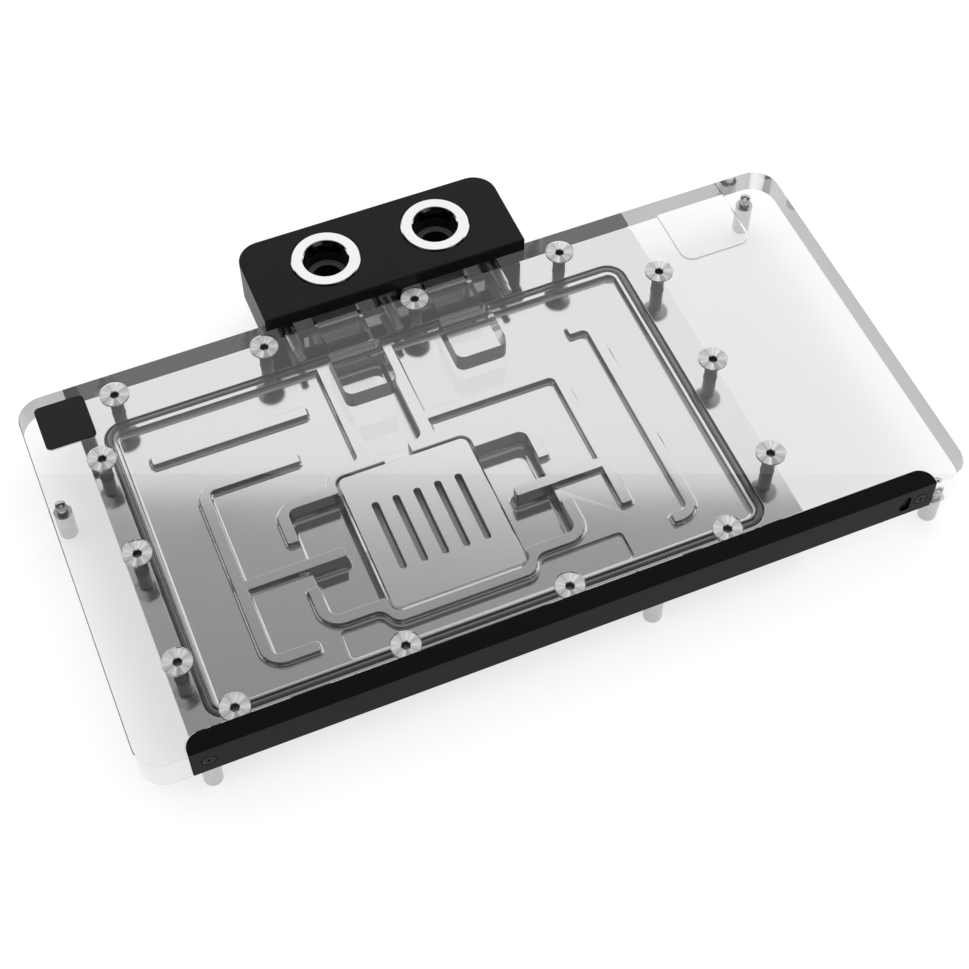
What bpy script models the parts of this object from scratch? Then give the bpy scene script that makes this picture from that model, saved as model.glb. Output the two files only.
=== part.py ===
"""GPU water block: nickel plated cold plate under a clear cover, with a two port terminal.

Frame: millimetres are turned to metres by MM, +Z up. The origin is the centre of the
face that meets the graphics chip. X runs along the card and Y from the trim strip to the ports.
"""
import bpy
import bmesh
from math import atan2, cos, hypot, pi, sin, tan

MM = 0.001
GAP = 0.3                      # clearance kept between pieces that touch

# Heights, from the chip face up
FOOT_Z = -2.2                  # circuit board side of the standoffs
BASE_Z = 1.0                   # underside of the cold plate
PLATE_Z = 9.1                  # top land of the cold plate
COVER_T = 11.0                 # thickness of the clear cover
COVER_Z0 = PLATE_Z + GAP
COVER_Z1 = COVER_Z0 + COVER_T

# Clear cover
COVER_X0, COVER_X1 = -99.5, 146.5
COVER_Y0, COVER_Y1 = -49.0, 78.5
COVER_R = 8.0
COVER_CHAMFER = 0.4

# Cold plate
PLATE_X0, PLATE_X1 = -84.3, 99.1
PLATE_Y0, PLATE_Y1 = -42.8, COVER_Y1
PLATE_R = 2.0
CHAMBER_X0, CHAMBER_X1 = -74.7, 86.1
CHAMBER_Y0, CHAMBER_Y1 = -33.9, 63.3
CHAMBER_R = 2.6
CHANNEL_D = 2.0                # depth of the flow channels
CHANNEL_FILLET = 1.2
RIB_W = 3.2
RIB_R = 6.5                    # outer corners of the ribs
RIB_INNER_R = 1.9
END_R = 0.6
TROUGH_X0, TROUGH_X1 = -36.5, 49.0
TROUGH_Y1 = -23.1
TROUGH_D = 1.1                 # below the channel floor
POCKET_X, POCKET_Y = 36.9, 18.8    # half sizes of the deep pocket over the chip
POCKET_D = 6.7
POCKET_FILLET = 1.6
POCKET_R = 2.6
PLATFORM_X, PLATFORM_Y = 40.1, 22.0
PLATFORM_NECK_X, PLATFORM_NECK_Y = 20.5, 27.3
NECK_SLOPE = 3.0
GATE_Y = 8.0                   # half height of the side openings into the pocket
ARM_Y = -0.2                   # middle line of the two arms beside the jet plate
ARM_LEFT_X, ARM_RIGHT_X = -26.1, 25.9
SEAL_W = 1.95
SEAL_X0, SEAL_X1 = -77.8, 89.3     # outer edges of the chamber seal
SEAL_Y0, SEAL_Y1 = -36.9, 66.9
SEAL_R = 6.0
SEAL_H = 1.6

# Jet plate and fins
JET_X, JET_Y = 20.8, 24.05     # half sizes
JET_R = 3.0
JET_T = 1.2
JET_RIM = 1.2                  # sloping edge
JET_SLOTS = 5
JET_SLOT_W = 2.2
JET_SLOT_L = 24.0
JET_SLOT_PITCH = 6.4
FIN_PITCH = 1.3
FIN_T = 0.6
FIN_TOP_Z = 6.9
FIN_X, FIN_Y = 19.6, 18.4

# Chip side
CONTACT_X, CONTACT_Y = 17.0, 19.0
PAD_Z = 0.4                    # face of the pads for the memory and power parts
MEMORY_X0, MEMORY_X1 = 24.0, 34.0
MEMORY_Y = 22.0
POWER_X0, POWER_X1 = 40.0, 48.0
POWER_Y0, POWER_Y1 = -28.0, 46.0
UPPER_X = 20.0
UPPER_Y0, UPPER_Y1 = 25.0, 35.0
PAD_R = 1.0
POST_X, POST_Y = 35.0, 30.0
POST_R = 3.0
POST_HOLE_R = 1.25

# Ports
PORT_X = (2.5, 38.2)
PORT_Y = 91.7
PORT_R = 6.58                  # bore of a quarter inch pipe thread
PORT_RING_R = 10.6
PORT_RING_T = 1.0
PORT_RING_PROUD = 0.4
PORT_SLEEVE_R = 7.7
PORT_SLEEVE_L = 4.0
PORT_DEPTH = 8.0
PORT_THROAT_R = 4.6
FEED_X = (-0.1, 35.3)          # channels in the clear cover
FEED_W = 16.2
FEED_Y0 = 45.7
FEED_Y1 = 62.6
FEED_H = 8.2
FEED_R = 2.6
TUNNEL_W = 14.0
TUNNEL_Z0, TUNNEL_Z1 = 12.8, 17.4
INLET_X0, INLET_X1 = -7.75, 8.55   # deep channel under the first port
INLET_Y0 = 27.9
INLET_D = 5.3
INLET_RIB_X0, INLET_RIB_X1 = -11.8, 12.3
NOTCH_X0, NOTCH_X1 = -4.7, 3.8     # shallow way from the inlet channel under the jet plate
NOTCH_D = 1.2

# Terminal block
TERM_X0, TERM_X1 = -22.5, 61.5
TERM_Y0, TERM_Y1 = 75.6, 106.4
TERM_Z0, TERM_Z1 = 10.0, 25.4
TERM_R = 7.5
TERM_CHAMFER = 0.5
TERM_SCREW_X = (-15.2, 15.9, 51.5)
TERM_SCREW_Z = 14.9
TERM_SCREW_R = 1.5
TERM_SCREW_TIP_Y = 65.6
TERM_SCREW_TIP_R = 1.1
TERM_HEAD_R = 2.8
TERM_HEAD_H = 2.6
PORT_SEAL_W = 1.2
PORT_SEAL_T = 0.7

# Fasteners of the cover
SCREW_ROWS = ((70.9, (-71.0, -24.9, 23.1, 71.1)), (-39.7, (-70.9, -22.9, 25.1, 73.1)))
SCREW_COLUMNS = ((-80.7, (-21.0, 15.8, 50.3)), (96.1, (-21.4, 15.4, 52.2)))
SCREW_HEAD_R = 4.2
SCREW_R = 1.95
SCREW_HEAD_H = 2.3
SCREW_RIM = 0.3
SCREW_L = 15.4
SCREW_SINK = 0.2               # head top below the top of the cover
HEX_R = 1.45
HEX_D = 1.6

# Standoffs under the cover
STANDOFFS = ((-95.9, 43.2), (136.9, 72.9), (-81.4, -45.8), (48.7, -45.8), (137.7, -45.8))
STANDOFF_R = 2.7
STANDOFF_CHAMFER = 0.8
STUD_R = 1.0
STUD_L = 3.4
INSERT_R = 1.6
INSERT_HOLE_R = 1.85
INSERT_H = 3.8

# Trim strip, its screws and the light strip behind it
TRIM_X0, TRIM_X1 = -86.5, 134.5
TRIM_W = 6.0
TRIM_T = 0.9
TRIM_PROUD = 0.5
TRIM_R = 4.5
TRIM_SCREW_X = (TRIM_X0 + 4.8, TRIM_X1 - 4.2)
TRIM_SCREW_DROP = 5.6          # below the top of the cover
TRIM_SCREW_R = 1.0
TRIM_HEAD_R = 1.9
SLOT_X = TRIM_X1 - 9.1         # opening for the plug of the light strip
SLOT_W, SLOT_H = 3.2, 6.4
LED_X0, LED_X1 = TRIM_X0 + 13.5, TRIM_X1 - 16.5
LED_BOARD_T = 0.6
LED_COUNT = 12
LED_SIZE = 2.0
LED_TRENCH_D = 3.6
LED_TRENCH_Y = 4.6             # back wall, behind the front face
SOCKET_Z0 = 10.8               # foot of the space for the socket of the light strip
SOCKET_WALL = 0.6

# Badge plate and the relief milled under the cover
BADGE_X0, BADGE_X1 = -94.4, -79.6
BADGE_Y0, BADGE_Y1 = 58.6, 74.4
BADGE_R = 1.6
BADGE_T = 1.0
BADGE_PROUD = 0.3
RELIEF_X0, RELIEF_X1 = 108.7, 132.0
RELIEF_Y0, RELIEF_Y1 = 57.9, 76.2
RELIEF_R = 4.0
RELIEF_D = 1.4

SHARP_ANGLE = pi * 46 / 180    # edges sharper than this are shaded as corners
TIGHT_R = 1.0                  # corners up to this radius get two facets

CHANNEL_Z = PLATE_Z - CHANNEL_D
POCKET_Z = PLATE_Z - POCKET_D


def clear_scene():
    for thing in list(bpy.data.objects):
        bpy.data.objects.remove(thing, do_unlink=True)


def make_material(name, colour, metallic, roughness, transmission=0.0):
    material = bpy.data.materials.new(name)
    material.use_nodes = True
    shader = material.node_tree.nodes["Principled BSDF"]
    shader.inputs["Base Color"].default_value = (*colour, 1.0)
    shader.inputs["Metallic"].default_value = metallic
    shader.inputs["Roughness"].default_value = roughness
    shader.inputs["Transmission Weight"].default_value = transmission
    return material


def rounded(corners, grow=0.0, steps=4):
    """Closed outline from (x, y, radius) corners, turning left, grown outwards by grow."""
    count = len(corners)
    area = 0.0
    for (x0, y0, _), (x1, y1, _) in zip(corners, corners[1:] + corners[:1]):
        area += x0 * y1 - x1 * y0
    ordered = list(corners) if area > 0 else list(reversed(corners))
    points = []
    for i in range(count):
        ax, ay, _ = ordered[i - 1]
        bx, by, radius = ordered[i]
        cx, cy, _ = ordered[(i + 1) % count]
        d1 = hypot(bx - ax, by - ay)
        d2 = hypot(cx - bx, cy - by)
        ux, uy = (bx - ax) / d1, (by - ay) / d1
        vx, vy = (cx - bx) / d2, (cy - by) / d2
        turn = atan2(ux * vy - uy * vx, ux * vx + uy * vy)
        facets = steps if radius > TIGHT_R else 2
        mitre = grow / cos(turn / 2)
        nx, ny = uy + vy, -(ux + vx)
        length = hypot(nx, ny)
        px, py = bx + nx / length * mitre, by + ny / length * mitre
        side = 1 if turn > 0 else -1
        radius = max(radius + side * grow, 0.12)
        back = radius * tan(abs(turn) / 2)
        ox, oy = px - ux * back - side * uy * radius, py - uy * back + side * ux * radius
        start = atan2(side * -ux, side * uy)
        for k in range(facets + 1):
            angle = start + turn * k / facets
            points.append((ox + radius * cos(angle), oy + radius * sin(angle)))
    return points


def box_corners(x0, x1, y0, y1, radius):
    return [(x0, y0, radius), (x1, y0, radius), (x1, y1, radius), (x0, y1, radius)]


def circle(x, y, radius, steps=16):
    angles = [2 * pi * k / steps for k in range(steps)]
    return [(x + radius * cos(angle), y + radius * sin(angle)) for angle in angles]


def skin(bm, rings, closed=False):
    """Join rings of (x, y, z) points in millimetres; the ends are capped unless the rings close."""
    rows = [[bm.verts.new((x * MM, y * MM, z * MM)) for x, y, z in ring] for ring in rings]
    count = len(rows[0])
    pairs = list(zip(rows, rows[1:]))
    if closed:
        pairs.append((rows[-1], rows[0]))
    for low, high in pairs:
        for i in range(count):
            j = (i + 1) % count
            bm.faces.new((low[i], low[j], high[j], high[i]))
    if not closed:
        bm.faces.new(list(reversed(rows[0])))
        bm.faces.new(rows[-1])


def stack(bm, outline_at, levels):
    """A solid from (grow, z) levels, low to high, of one outline function."""
    skin(bm, [[(x, y, z) for x, y in outline_at(grow)] for grow, z in levels])


def ring(bm, outline_at, section):
    """A closed band: the (grow, z) section, turning left, is carried round the outline."""
    skin(bm, [[(x, y, z) for x, y in outline_at(grow)] for grow, z in section], closed=True)


def turn_z(bm, x, y, profile, steps=12):
    """A turned solid on a vertical axis, from (radius, z) points, low to high."""
    skin(bm, [[(px, py, z) for px, py in circle(x, y, radius, steps)] for radius, z in profile])


def turn_y(bm, x, z, profile, steps=10):
    """A turned solid along +Y, from (radius, y) points in rising y."""
    rings = [[(px, y, 2 * z - pz) for px, pz in circle(x, z, radius, steps)] for radius, y in profile]
    skin(bm, rings)


def slab(bm, x0, x1, y0, y1, z0, z1):
    skin(bm, [[(x0, y0, z), (x1, y0, z), (x1, y1, z), (x0, y1, z)] for z in (z0, z1)])


def place(name, bm, material=None):
    mesh = bpy.data.meshes.new(name)
    bmesh.ops.recalc_face_normals(bm, faces=bm.faces)
    bm.to_mesh(mesh)
    bm.free()
    thing = bpy.data.objects.new(name, mesh)
    bpy.context.scene.collection.objects.link(thing)
    if material:
        mesh.materials.append(material)
        mesh.shade_smooth()
        mesh.set_sharp_from_angle(angle=SHARP_ANGLE)
    return thing


def combine(target, bm, operation):
    """Cut bm out of the target, or join it on, and keep the result as the target's mesh."""
    tool = place("tool", bm)
    step = target.modifiers.new(operation.title(), "BOOLEAN")
    step.operation = operation
    step.solver = "EXACT"
    step.object = tool
    graph = bpy.context.evaluated_depsgraph_get()
    made = bpy.data.meshes.new_from_object(target.evaluated_get(graph))
    target.modifiers.clear()
    old = target.data
    target.data = made
    bpy.data.meshes.remove(old)
    made.name = target.name
    bpy.data.objects.remove(tool, do_unlink=True)
    made.shade_smooth()
    made.set_sharp_from_angle(angle=SHARP_ANGLE)


def cut(target, bm):
    combine(target, bm, "DIFFERENCE")


def join(target, bm):
    combine(target, bm, "UNION")


def concave_levels(floor_z, top_z, fillet, root_z, steps=3):
    """Levels of a wall that flares out into the floor by a fillet and is rooted below it."""
    sink = 0.05
    levels = [(fillet, root_z)]
    for k in range(steps + 1):
        angle = pi / 2 * k / steps
        levels.append((fillet * (1 - sin(angle)), floor_z - sink + fillet * (1 - cos(angle))))
    levels.append((0.0, top_z))
    return levels


def basin_levels(floor_z, fillet, top_z, steps=3):
    """Levels of a cutter whose foot is rounded, to leave a fillet round the floor."""
    levels = []
    for k in range(steps + 1):
        angle = pi / 2 * k / steps
        levels.append((-fillet * (1 - sin(angle)), floor_z + fillet * (1 - cos(angle))))
    levels.append((0.0, top_z))
    return levels


def screw_sites():
    for y, columns in SCREW_ROWS:
        for x in columns:
            yield x, y
    for x, rows in SCREW_COLUMNS:
        for y in rows:
            yield x, y


def platform_corners():
    """The raised platform round the jet plate with its brackets and the land of the first port."""
    gate_x = POCKET_X - 3.0
    slope_x = PLATFORM_NECK_X + NECK_SLOPE
    right = [
        (slope_x, -PLATFORM_Y, 4.0), (PLATFORM_X, -PLATFORM_Y, RIB_R), (PLATFORM_X, -GATE_Y, END_R),
        (gate_x, -GATE_Y, END_R), (gate_x, GATE_Y, END_R), (PLATFORM_X, GATE_Y, END_R),
        (PLATFORM_X, PLATFORM_Y, RIB_R), (slope_x, PLATFORM_Y, 4.0),
    ]
    left = [(-x, -y, radius) for x, y, radius in right]
    land_y = CHAMBER_Y1 + 1.0
    top = [
        (PLATFORM_NECK_X, PLATFORM_NECK_Y, 4.0), (INLET_RIB_X1, PLATFORM_NECK_Y, RIB_INNER_R),
        (INLET_RIB_X1, land_y, END_R), (INLET_RIB_X0, land_y, END_R),
        (INLET_RIB_X0, PLATFORM_NECK_Y, RIB_INNER_R), (-PLATFORM_NECK_X, PLATFORM_NECK_Y, 4.0),
    ]
    bottom = [(-PLATFORM_NECK_X, -PLATFORM_NECK_Y, 4.0), (PLATFORM_NECK_X, -PLATFORM_NECK_Y, 4.0)]
    return right + top + left + bottom


def rib_outlines():
    """The flow guides that stand on the channel floor."""
    w = RIB_W
    c_x, c_y0, c_y1 = -58.7, -27.4, 36.8
    c_top_x, c_low_x = -27.5, -43.2
    c_rib = [
        (c_x, c_y1, RIB_R), (c_x, c_y0, RIB_R), (c_low_x, c_y0, END_R), (c_low_x, c_y0 + w, END_R),
        (c_x + w, c_y0 + w, RIB_INNER_R), (c_x + w, c_y1 - w, RIB_INNER_R),
        (c_top_x, c_y1 - w, END_R), (c_top_x, c_y1, END_R),
    ]
    bar_x0, bar_x1, bar_y = -67.3, -19.8, 48.6
    bar = box_corners(bar_x0, bar_x1, bar_y, bar_y + w, END_R)
    j_x, j_y0, j_y1 = 55.8, -15.8, 36.7
    j_rib = [
        (INLET_RIB_X1 - 1.5, j_y1 - w, 0.3), (j_x - w, j_y1 - w, RIB_INNER_R), (j_x - w, j_y0, END_R),
        (j_x, j_y0, END_R), (j_x, j_y1, RIB_R), (INLET_RIB_X1 - 1.5, j_y1, 0.3),
    ]
    hook_x0, hook_x1, hook_y0, hook_y1 = 63.9, 72.5, -27.3, 49.4
    hook = [
        (hook_x0, hook_y0, END_R), (hook_x1, hook_y0, RIB_R), (hook_x1, hook_y1, 4.0),
        (hook_x0, hook_y1, END_R), (hook_x0, hook_y1 - w, END_R), (hook_x1 - w, hook_y1 - w, RIB_INNER_R),
        (hook_x1 - w, hook_y0 + w, RIB_INNER_R), (hook_x0, hook_y0 + w, END_R),
    ]
    overlap = 1.4
    arm_y0, arm_y1 = ARM_Y - w / 2, ARM_Y + w / 2
    left_arm = box_corners(c_x + 1.0, -POCKET_X - overlap, arm_y0, arm_y1, 0.3)
    right_arm = box_corners(POCKET_X + overlap, j_x - 1.0, arm_y0, arm_y1, 0.3)
    return [c_rib, bar, j_rib, hook, left_arm, right_arm]


def arm_outlines():
    """The tall ends of the arms, which stand on the floor of the deep pocket."""
    reach = POCKET_X + 2.6
    arm_y0, arm_y1 = ARM_Y - RIB_W / 2, ARM_Y + RIB_W / 2
    return [
        box_corners(-reach, ARM_LEFT_X, arm_y0, arm_y1, END_R),
        box_corners(ARM_RIGHT_X, reach, arm_y0, arm_y1, END_R),
    ]


def fin_comb(bm):
    """The fins under the jet plate, as one comb with its back in the pocket floor."""
    back_z, floor_z = POCKET_Z - 0.3, POCKET_Z + 0.4
    count = int((2 * FIN_Y - FIN_T) / FIN_PITCH) + 1
    first = -((count - 1) * FIN_PITCH + FIN_T) / 2
    profile = [(first, back_z)]
    for k in range(count):
        y = first + k * FIN_PITCH
        if k:
            profile.append((y, floor_z))
        profile += [(y, FIN_TOP_Z), (y + FIN_T, FIN_TOP_Z)]
        if k < count - 1:
            profile.append((y + FIN_T, floor_z))
    profile.append((-first, back_z))
    skin(bm, [[(x, y, z) for y, z in profile] for x in (-FIN_X, FIN_X)])


def build_cold_plate(material):
    """Milled from one plate: land, channels, ribs, deep pocket, fins and the chip side."""
    above = PLATE_Z + 1.0
    bm = bmesh.new()
    outline = box_corners(PLATE_X0, PLATE_X1, PLATE_Y0, PLATE_Y1, PLATE_R)
    stack(bm, lambda g: rounded(outline, g), [(0.0, BASE_Z), (0.0, PLATE_Z)])
    plate = place("cold_plate", bm, material)

    bm = bmesh.new()
    chamber = box_corners(CHAMBER_X0, CHAMBER_X1, CHAMBER_Y0, CHAMBER_Y1, CHAMBER_R)
    stack(bm, lambda g: rounded(chamber, g), basin_levels(CHANNEL_Z, CHANNEL_FILLET, above))
    cut(plate, bm)

    bm = bmesh.new()
    trough = box_corners(TROUGH_X0, TROUGH_X1, CHAMBER_Y0 + CHANNEL_FILLET + 0.2, TROUGH_Y1, 1.6)
    stack(bm, lambda g: rounded(trough, g), basin_levels(CHANNEL_Z - TROUGH_D, 0.7, CHANNEL_Z + 0.6))
    cut(plate, bm)

    bm = bmesh.new()
    levels = concave_levels(CHANNEL_Z, PLATE_Z, CHANNEL_FILLET, CHANNEL_Z - TROUGH_D - 0.5)
    stack(bm, lambda g: rounded(platform_corners(), g), levels)
    join(plate, bm)
    levels = concave_levels(CHANNEL_Z, PLATE_Z, CHANNEL_FILLET, CHANNEL_Z - 0.4)
    for corners in rib_outlines():
        bm = bmesh.new()
        stack(bm, lambda g: rounded(corners, g), levels)
        join(plate, bm)

    bm = bmesh.new()
    pocket = box_corners(-POCKET_X, POCKET_X, -POCKET_Y, POCKET_Y, POCKET_R)
    stack(bm, lambda g: rounded(pocket, g), basin_levels(POCKET_Z, POCKET_FILLET, above))
    cut(plate, bm)
    levels = concave_levels(POCKET_Z, PLATE_Z, POCKET_FILLET, POCKET_Z - 0.4)
    for corners in arm_outlines():
        bm = bmesh.new()
        stack(bm, lambda g: rounded(corners, g), levels)
        join(plate, bm)

    bm = bmesh.new()
    seat = box_corners(-JET_X - GAP, JET_X + GAP, -JET_Y - GAP, JET_Y + GAP, JET_R + GAP)
    stack(bm, lambda g: rounded(seat, g), [(0.0, PLATE_Z - JET_T - GAP), (0.0, above)])
    cut(plate, bm)

    bm = bmesh.new()
    fin_comb(bm)
    join(plate, bm)

    bm = bmesh.new()
    inlet = box_corners(INLET_X0, INLET_X1, INLET_Y0, CHAMBER_Y1, POCKET_R)
    stack(bm, lambda g: rounded(inlet, g), basin_levels(PLATE_Z - INLET_D, CHANNEL_FILLET, above))
    cut(plate, bm)
    bm = bmesh.new()
    notch_z = PLATE_Z - JET_T - GAP - NOTCH_D
    slab(bm, NOTCH_X0, NOTCH_X1, POCKET_Y - 2.0, INLET_Y0 + 1.5, notch_z, above)
    cut(plate, bm)

    bm = bmesh.new()
    seal = box_corners(SEAL_X0, SEAL_X1, SEAL_Y0, SEAL_Y1, SEAL_R)
    groove_z = PLATE_Z - SEAL_H - GAP
    groove = [(-SEAL_W - GAP, groove_z), (GAP, groove_z), (GAP, above), (-SEAL_W - GAP, above)]
    ring(bm, lambda g: rounded(seal, g), groove)
    for x, y in screw_sites():
        turn_z(bm, x, y, [(SCREW_R + 0.35, PLATE_Z - 5.0), (SCREW_R + 0.35, above)], 10)
    cut(plate, bm)

    bm = bmesh.new()
    root_z = BASE_Z + 0.5
    contact = box_corners(-CONTACT_X, CONTACT_X, -CONTACT_Y, CONTACT_Y, PAD_R)
    stack(bm, lambda g: rounded(contact, g), [(0.0, 0.0), (0.0, root_z)])
    pads = [box_corners(-UPPER_X, UPPER_X, UPPER_Y0, UPPER_Y1, PAD_R)]
    for side in (-1, 1):
        pads.append(box_corners(side * MEMORY_X0, side * MEMORY_X1, -MEMORY_Y, MEMORY_Y, PAD_R))
        pads.append(box_corners(side * POWER_X0, side * POWER_X1, POWER_Y0, POWER_Y1, PAD_R))
        for y in (-POST_Y, POST_Y):
            turn_z(bm, side * POST_X, y, [(POST_R, FOOT_Z), (POST_R, root_z)])
    for corners in pads:
        stack(bm, lambda g: rounded(corners, g), [(0.0, PAD_Z), (0.0, root_z)])
    join(plate, bm)
    bm = bmesh.new()
    for x in (-POST_X, POST_X):
        for y in (-POST_Y, POST_Y):
            turn_z(bm, x, y, [(POST_HOLE_R, FOOT_Z - 1.0), (POST_HOLE_R, root_z + 0.1)])
    cut(plate, bm)


def build_jet_plate(material):
    """Thin plate over the fins: a sloping rim, a flat field and open jet slots."""
    z1 = PLATE_Z - 0.05
    z0 = z1 - JET_T
    outline = box_corners(-JET_X, JET_X, -JET_Y, JET_Y, JET_R)
    bm = bmesh.new()
    levels = [(0.0, z0), (0.0, z1 - JET_RIM * 0.7), (-JET_RIM, z1 - 0.15), (-JET_RIM - 0.5, z1)]
    stack(bm, lambda g: rounded(outline, g), levels)
    plate = place("jet_plate", bm, material)
    bm = bmesh.new()
    for k in range(JET_SLOTS):
        x = (k - (JET_SLOTS - 1) / 2) * JET_SLOT_PITCH
        half = JET_SLOT_W / 2
        slot = box_corners(x - half, x + half, -JET_SLOT_L / 2, JET_SLOT_L / 2, half * 0.98)
        stack(bm, lambda g: rounded(slot, g, 3), [(0.0, z0 - 1.0), (0.0, z1 + 1.0)])
    cut(plate, bm)


def build_chamber_seal(material):
    outline = box_corners(SEAL_X0, SEAL_X1, SEAL_Y0, SEAL_Y1, SEAL_R)
    z1 = PLATE_Z
    z0 = z1 - SEAL_H
    bevel = 0.45
    inner = -SEAL_W
    section = [
        (inner + bevel, z0), (-bevel, z0), (0.0, z0 + bevel), (0.0, z1 - bevel),
        (-bevel, z1), (inner + bevel, z1), (inner, z1 - bevel), (inner, z0 + bevel),
    ]
    bm = bmesh.new()
    ring(bm, lambda g: rounded(outline, g), section)
    place("chamber_seal", bm, material)


def build_cover(material):
    """Clear block with polished edges, the port channels, and every screw and insert hole."""
    above, below = COVER_Z1 + 1.0, COVER_Z0 - 1.0
    outline = box_corners(COVER_X0, COVER_X1, COVER_Y0, COVER_Y1, COVER_R)
    c = COVER_CHAMFER
    levels = [(-c, COVER_Z0), (0.0, COVER_Z0 + c), (0.0, COVER_Z1 - c), (-c, COVER_Z1)]
    bm = bmesh.new()
    stack(bm, lambda g: rounded(outline, g, 6), levels)
    cover = place("clear_cover", bm, material)

    bm = bmesh.new()
    for x in FEED_X:
        feed = [
            (x - FEED_W / 2, FEED_Y0, FEED_R), (x + FEED_W / 2, FEED_Y0, FEED_R),
            (x + FEED_W / 2, FEED_Y1, 1.0), (x - FEED_W / 2, FEED_Y1, 1.0),
        ]
        stack(bm, lambda g: rounded(feed, g), [(0.0, below), (0.0, COVER_Z0 + FEED_H)])
    cut(cover, bm)
    bm = bmesh.new()
    for x in FEED_X:
        slab(bm, x - TUNNEL_W / 2, x + TUNNEL_W / 2, FEED_Y1 - 1.5, COVER_Y1 + 1.0, TUNNEL_Z0, TUNNEL_Z1)
    cut(cover, bm)

    bm = bmesh.new()
    head_r = SCREW_HEAD_R + GAP
    hole_r = SCREW_R + GAP
    cone_z, rim_z = COVER_Z1 - SCREW_SINK - SCREW_HEAD_H, COVER_Z1 - SCREW_SINK - SCREW_RIM
    for x, y in screw_sites():
        profile = [(hole_r, below), (hole_r, cone_z - 0.2), (head_r, rim_z - 0.2), (head_r, above)]
        turn_z(bm, x, y, profile)
    cut(cover, bm)

    bm = bmesh.new()
    for x, y in STANDOFFS:
        turn_z(bm, x, y, [(INSERT_HOLE_R, below), (INSERT_HOLE_R, COVER_Z0 + INSERT_H + 0.4)])
    for x in TERM_SCREW_X:
        wide, narrow = TERM_SCREW_R + GAP, TERM_SCREW_TIP_R + GAP
        step_y = TERM_SCREW_TIP_Y + 2.6
        tip_y = TERM_SCREW_TIP_Y - 0.4
        profile = [(narrow, tip_y), (narrow, step_y), (wide, step_y + 0.3), (wide, COVER_Y1 + 1.0)]
        turn_y(bm, x, TERM_SCREW_Z, profile)
    relief = box_corners(RELIEF_X0, RELIEF_X1, RELIEF_Y0, RELIEF_Y1, RELIEF_R)
    stack(bm, lambda g: rounded(relief, g), [(0.0, below), (0.0, COVER_Z0 + RELIEF_D)])
    badge = box_corners(BADGE_X0, BADGE_X1, BADGE_Y0, BADGE_Y1, BADGE_R)
    badge_z = COVER_Z1 + BADGE_PROUD - BADGE_T
    stack(bm, lambda g: rounded(badge, g + GAP), [(0.0, badge_z - GAP), (0.0, above)])
    cut(cover, bm)

    bm = bmesh.new()
    seat_y = COVER_Y0 + TRIM_W + GAP
    seat = [
        (TRIM_X0 - GAP, COVER_Y0 - 2.0, 0.2), (TRIM_X1 + GAP, COVER_Y0 - 2.0, 0.2),
        (TRIM_X1 + GAP, seat_y, TRIM_R + GAP), (TRIM_X0 - GAP, seat_y, TRIM_R + GAP),
    ]
    stack(bm, lambda g: rounded(seat, g), [(0.0, COVER_Z1 + TRIM_PROUD - TRIM_T - GAP), (0.0, above)])
    cut(cover, bm)
    bm = bmesh.new()
    slab(bm, TRIM_X0 - GAP, TRIM_X1 + GAP, COVER_Y0 - 1.0, COVER_Y0 + TRIM_T + GAP, below, COVER_Z1 - 0.1)
    cut(cover, bm)
    bm = bmesh.new()
    trench_y = COVER_Y0 + TRIM_T + GAP
    back_y = COVER_Y0 + LED_TRENCH_Y
    floor_z, top_z = COVER_Z1 - LED_TRENCH_D, COVER_Z1 - 0.3
    slab(bm, LED_X0 - 0.5, LED_X1 + 0.5, trench_y - 0.5, back_y, floor_z, top_z)
    for x in TRIM_SCREW_X:
        z = COVER_Z1 - TRIM_SCREW_DROP
        profile = [(TRIM_SCREW_R + GAP, COVER_Y0 - 0.5), (TRIM_SCREW_R + GAP, COVER_Y0 + 7.4)]
        turn_y(bm, x, z, profile)
    cut(cover, bm)
    bm = bmesh.new()
    socket_x1 = SLOT_X + SLOT_W / 2 + SOCKET_WALL
    slab(bm, LED_X1 - 0.5, socket_x1, trench_y - 0.5, back_y - 0.5, SOCKET_Z0, top_z - 0.1)
    cut(cover, bm)


def build_cover_screws(material):
    """Countersunk screws with a hexagon socket."""
    z1 = COVER_Z1 - SCREW_SINK
    for number, (x, y) in enumerate(screw_sites(), 1):
        bm = bmesh.new()
        profile = [
            (SCREW_R, z1 - SCREW_L), (SCREW_R, z1 - SCREW_HEAD_H),
            (SCREW_HEAD_R, z1 - SCREW_RIM), (SCREW_HEAD_R, z1),
        ]
        turn_z(bm, x, y, profile)
        screw = place(f"cover_screw_{number:02d}", bm, material)
        bm = bmesh.new()
        turn_z(bm, x, y, [(HEX_R, z1 - HEX_D), (HEX_R, z1 + 1.0)], 6)
        cut(screw, bm)


def build_standoffs(metal):
    for number, (x, y) in enumerate(STANDOFFS, 1):
        top = COVER_Z0 - GAP
        c = STANDOFF_CHAMFER
        bm = bmesh.new()
        profile = [
            (STANDOFF_R - c, FOOT_Z), (STANDOFF_R, FOOT_Z + c), (STANDOFF_R, top),
            (STUD_R, top), (STUD_R, top + STUD_L - 0.3), (STUD_R - 0.3, top + STUD_L),
        ]
        turn_z(bm, x, y, profile)
        place(f"standoff_{number}", bm, metal)
        bm = bmesh.new()
        inner = STUD_R + GAP
        z0, z1 = COVER_Z0 + 0.1, COVER_Z0 + INSERT_H
        section = [(INSERT_R, z0), (INSERT_R, z1), (inner, z1), (inner, z0)]
        rings = [[(px, py, z) for px, py in circle(x, y, radius, 10)] for radius, z in section]
        skin(bm, rings, closed=True)
        place(f"threaded_insert_{number}", bm, metal)


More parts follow.
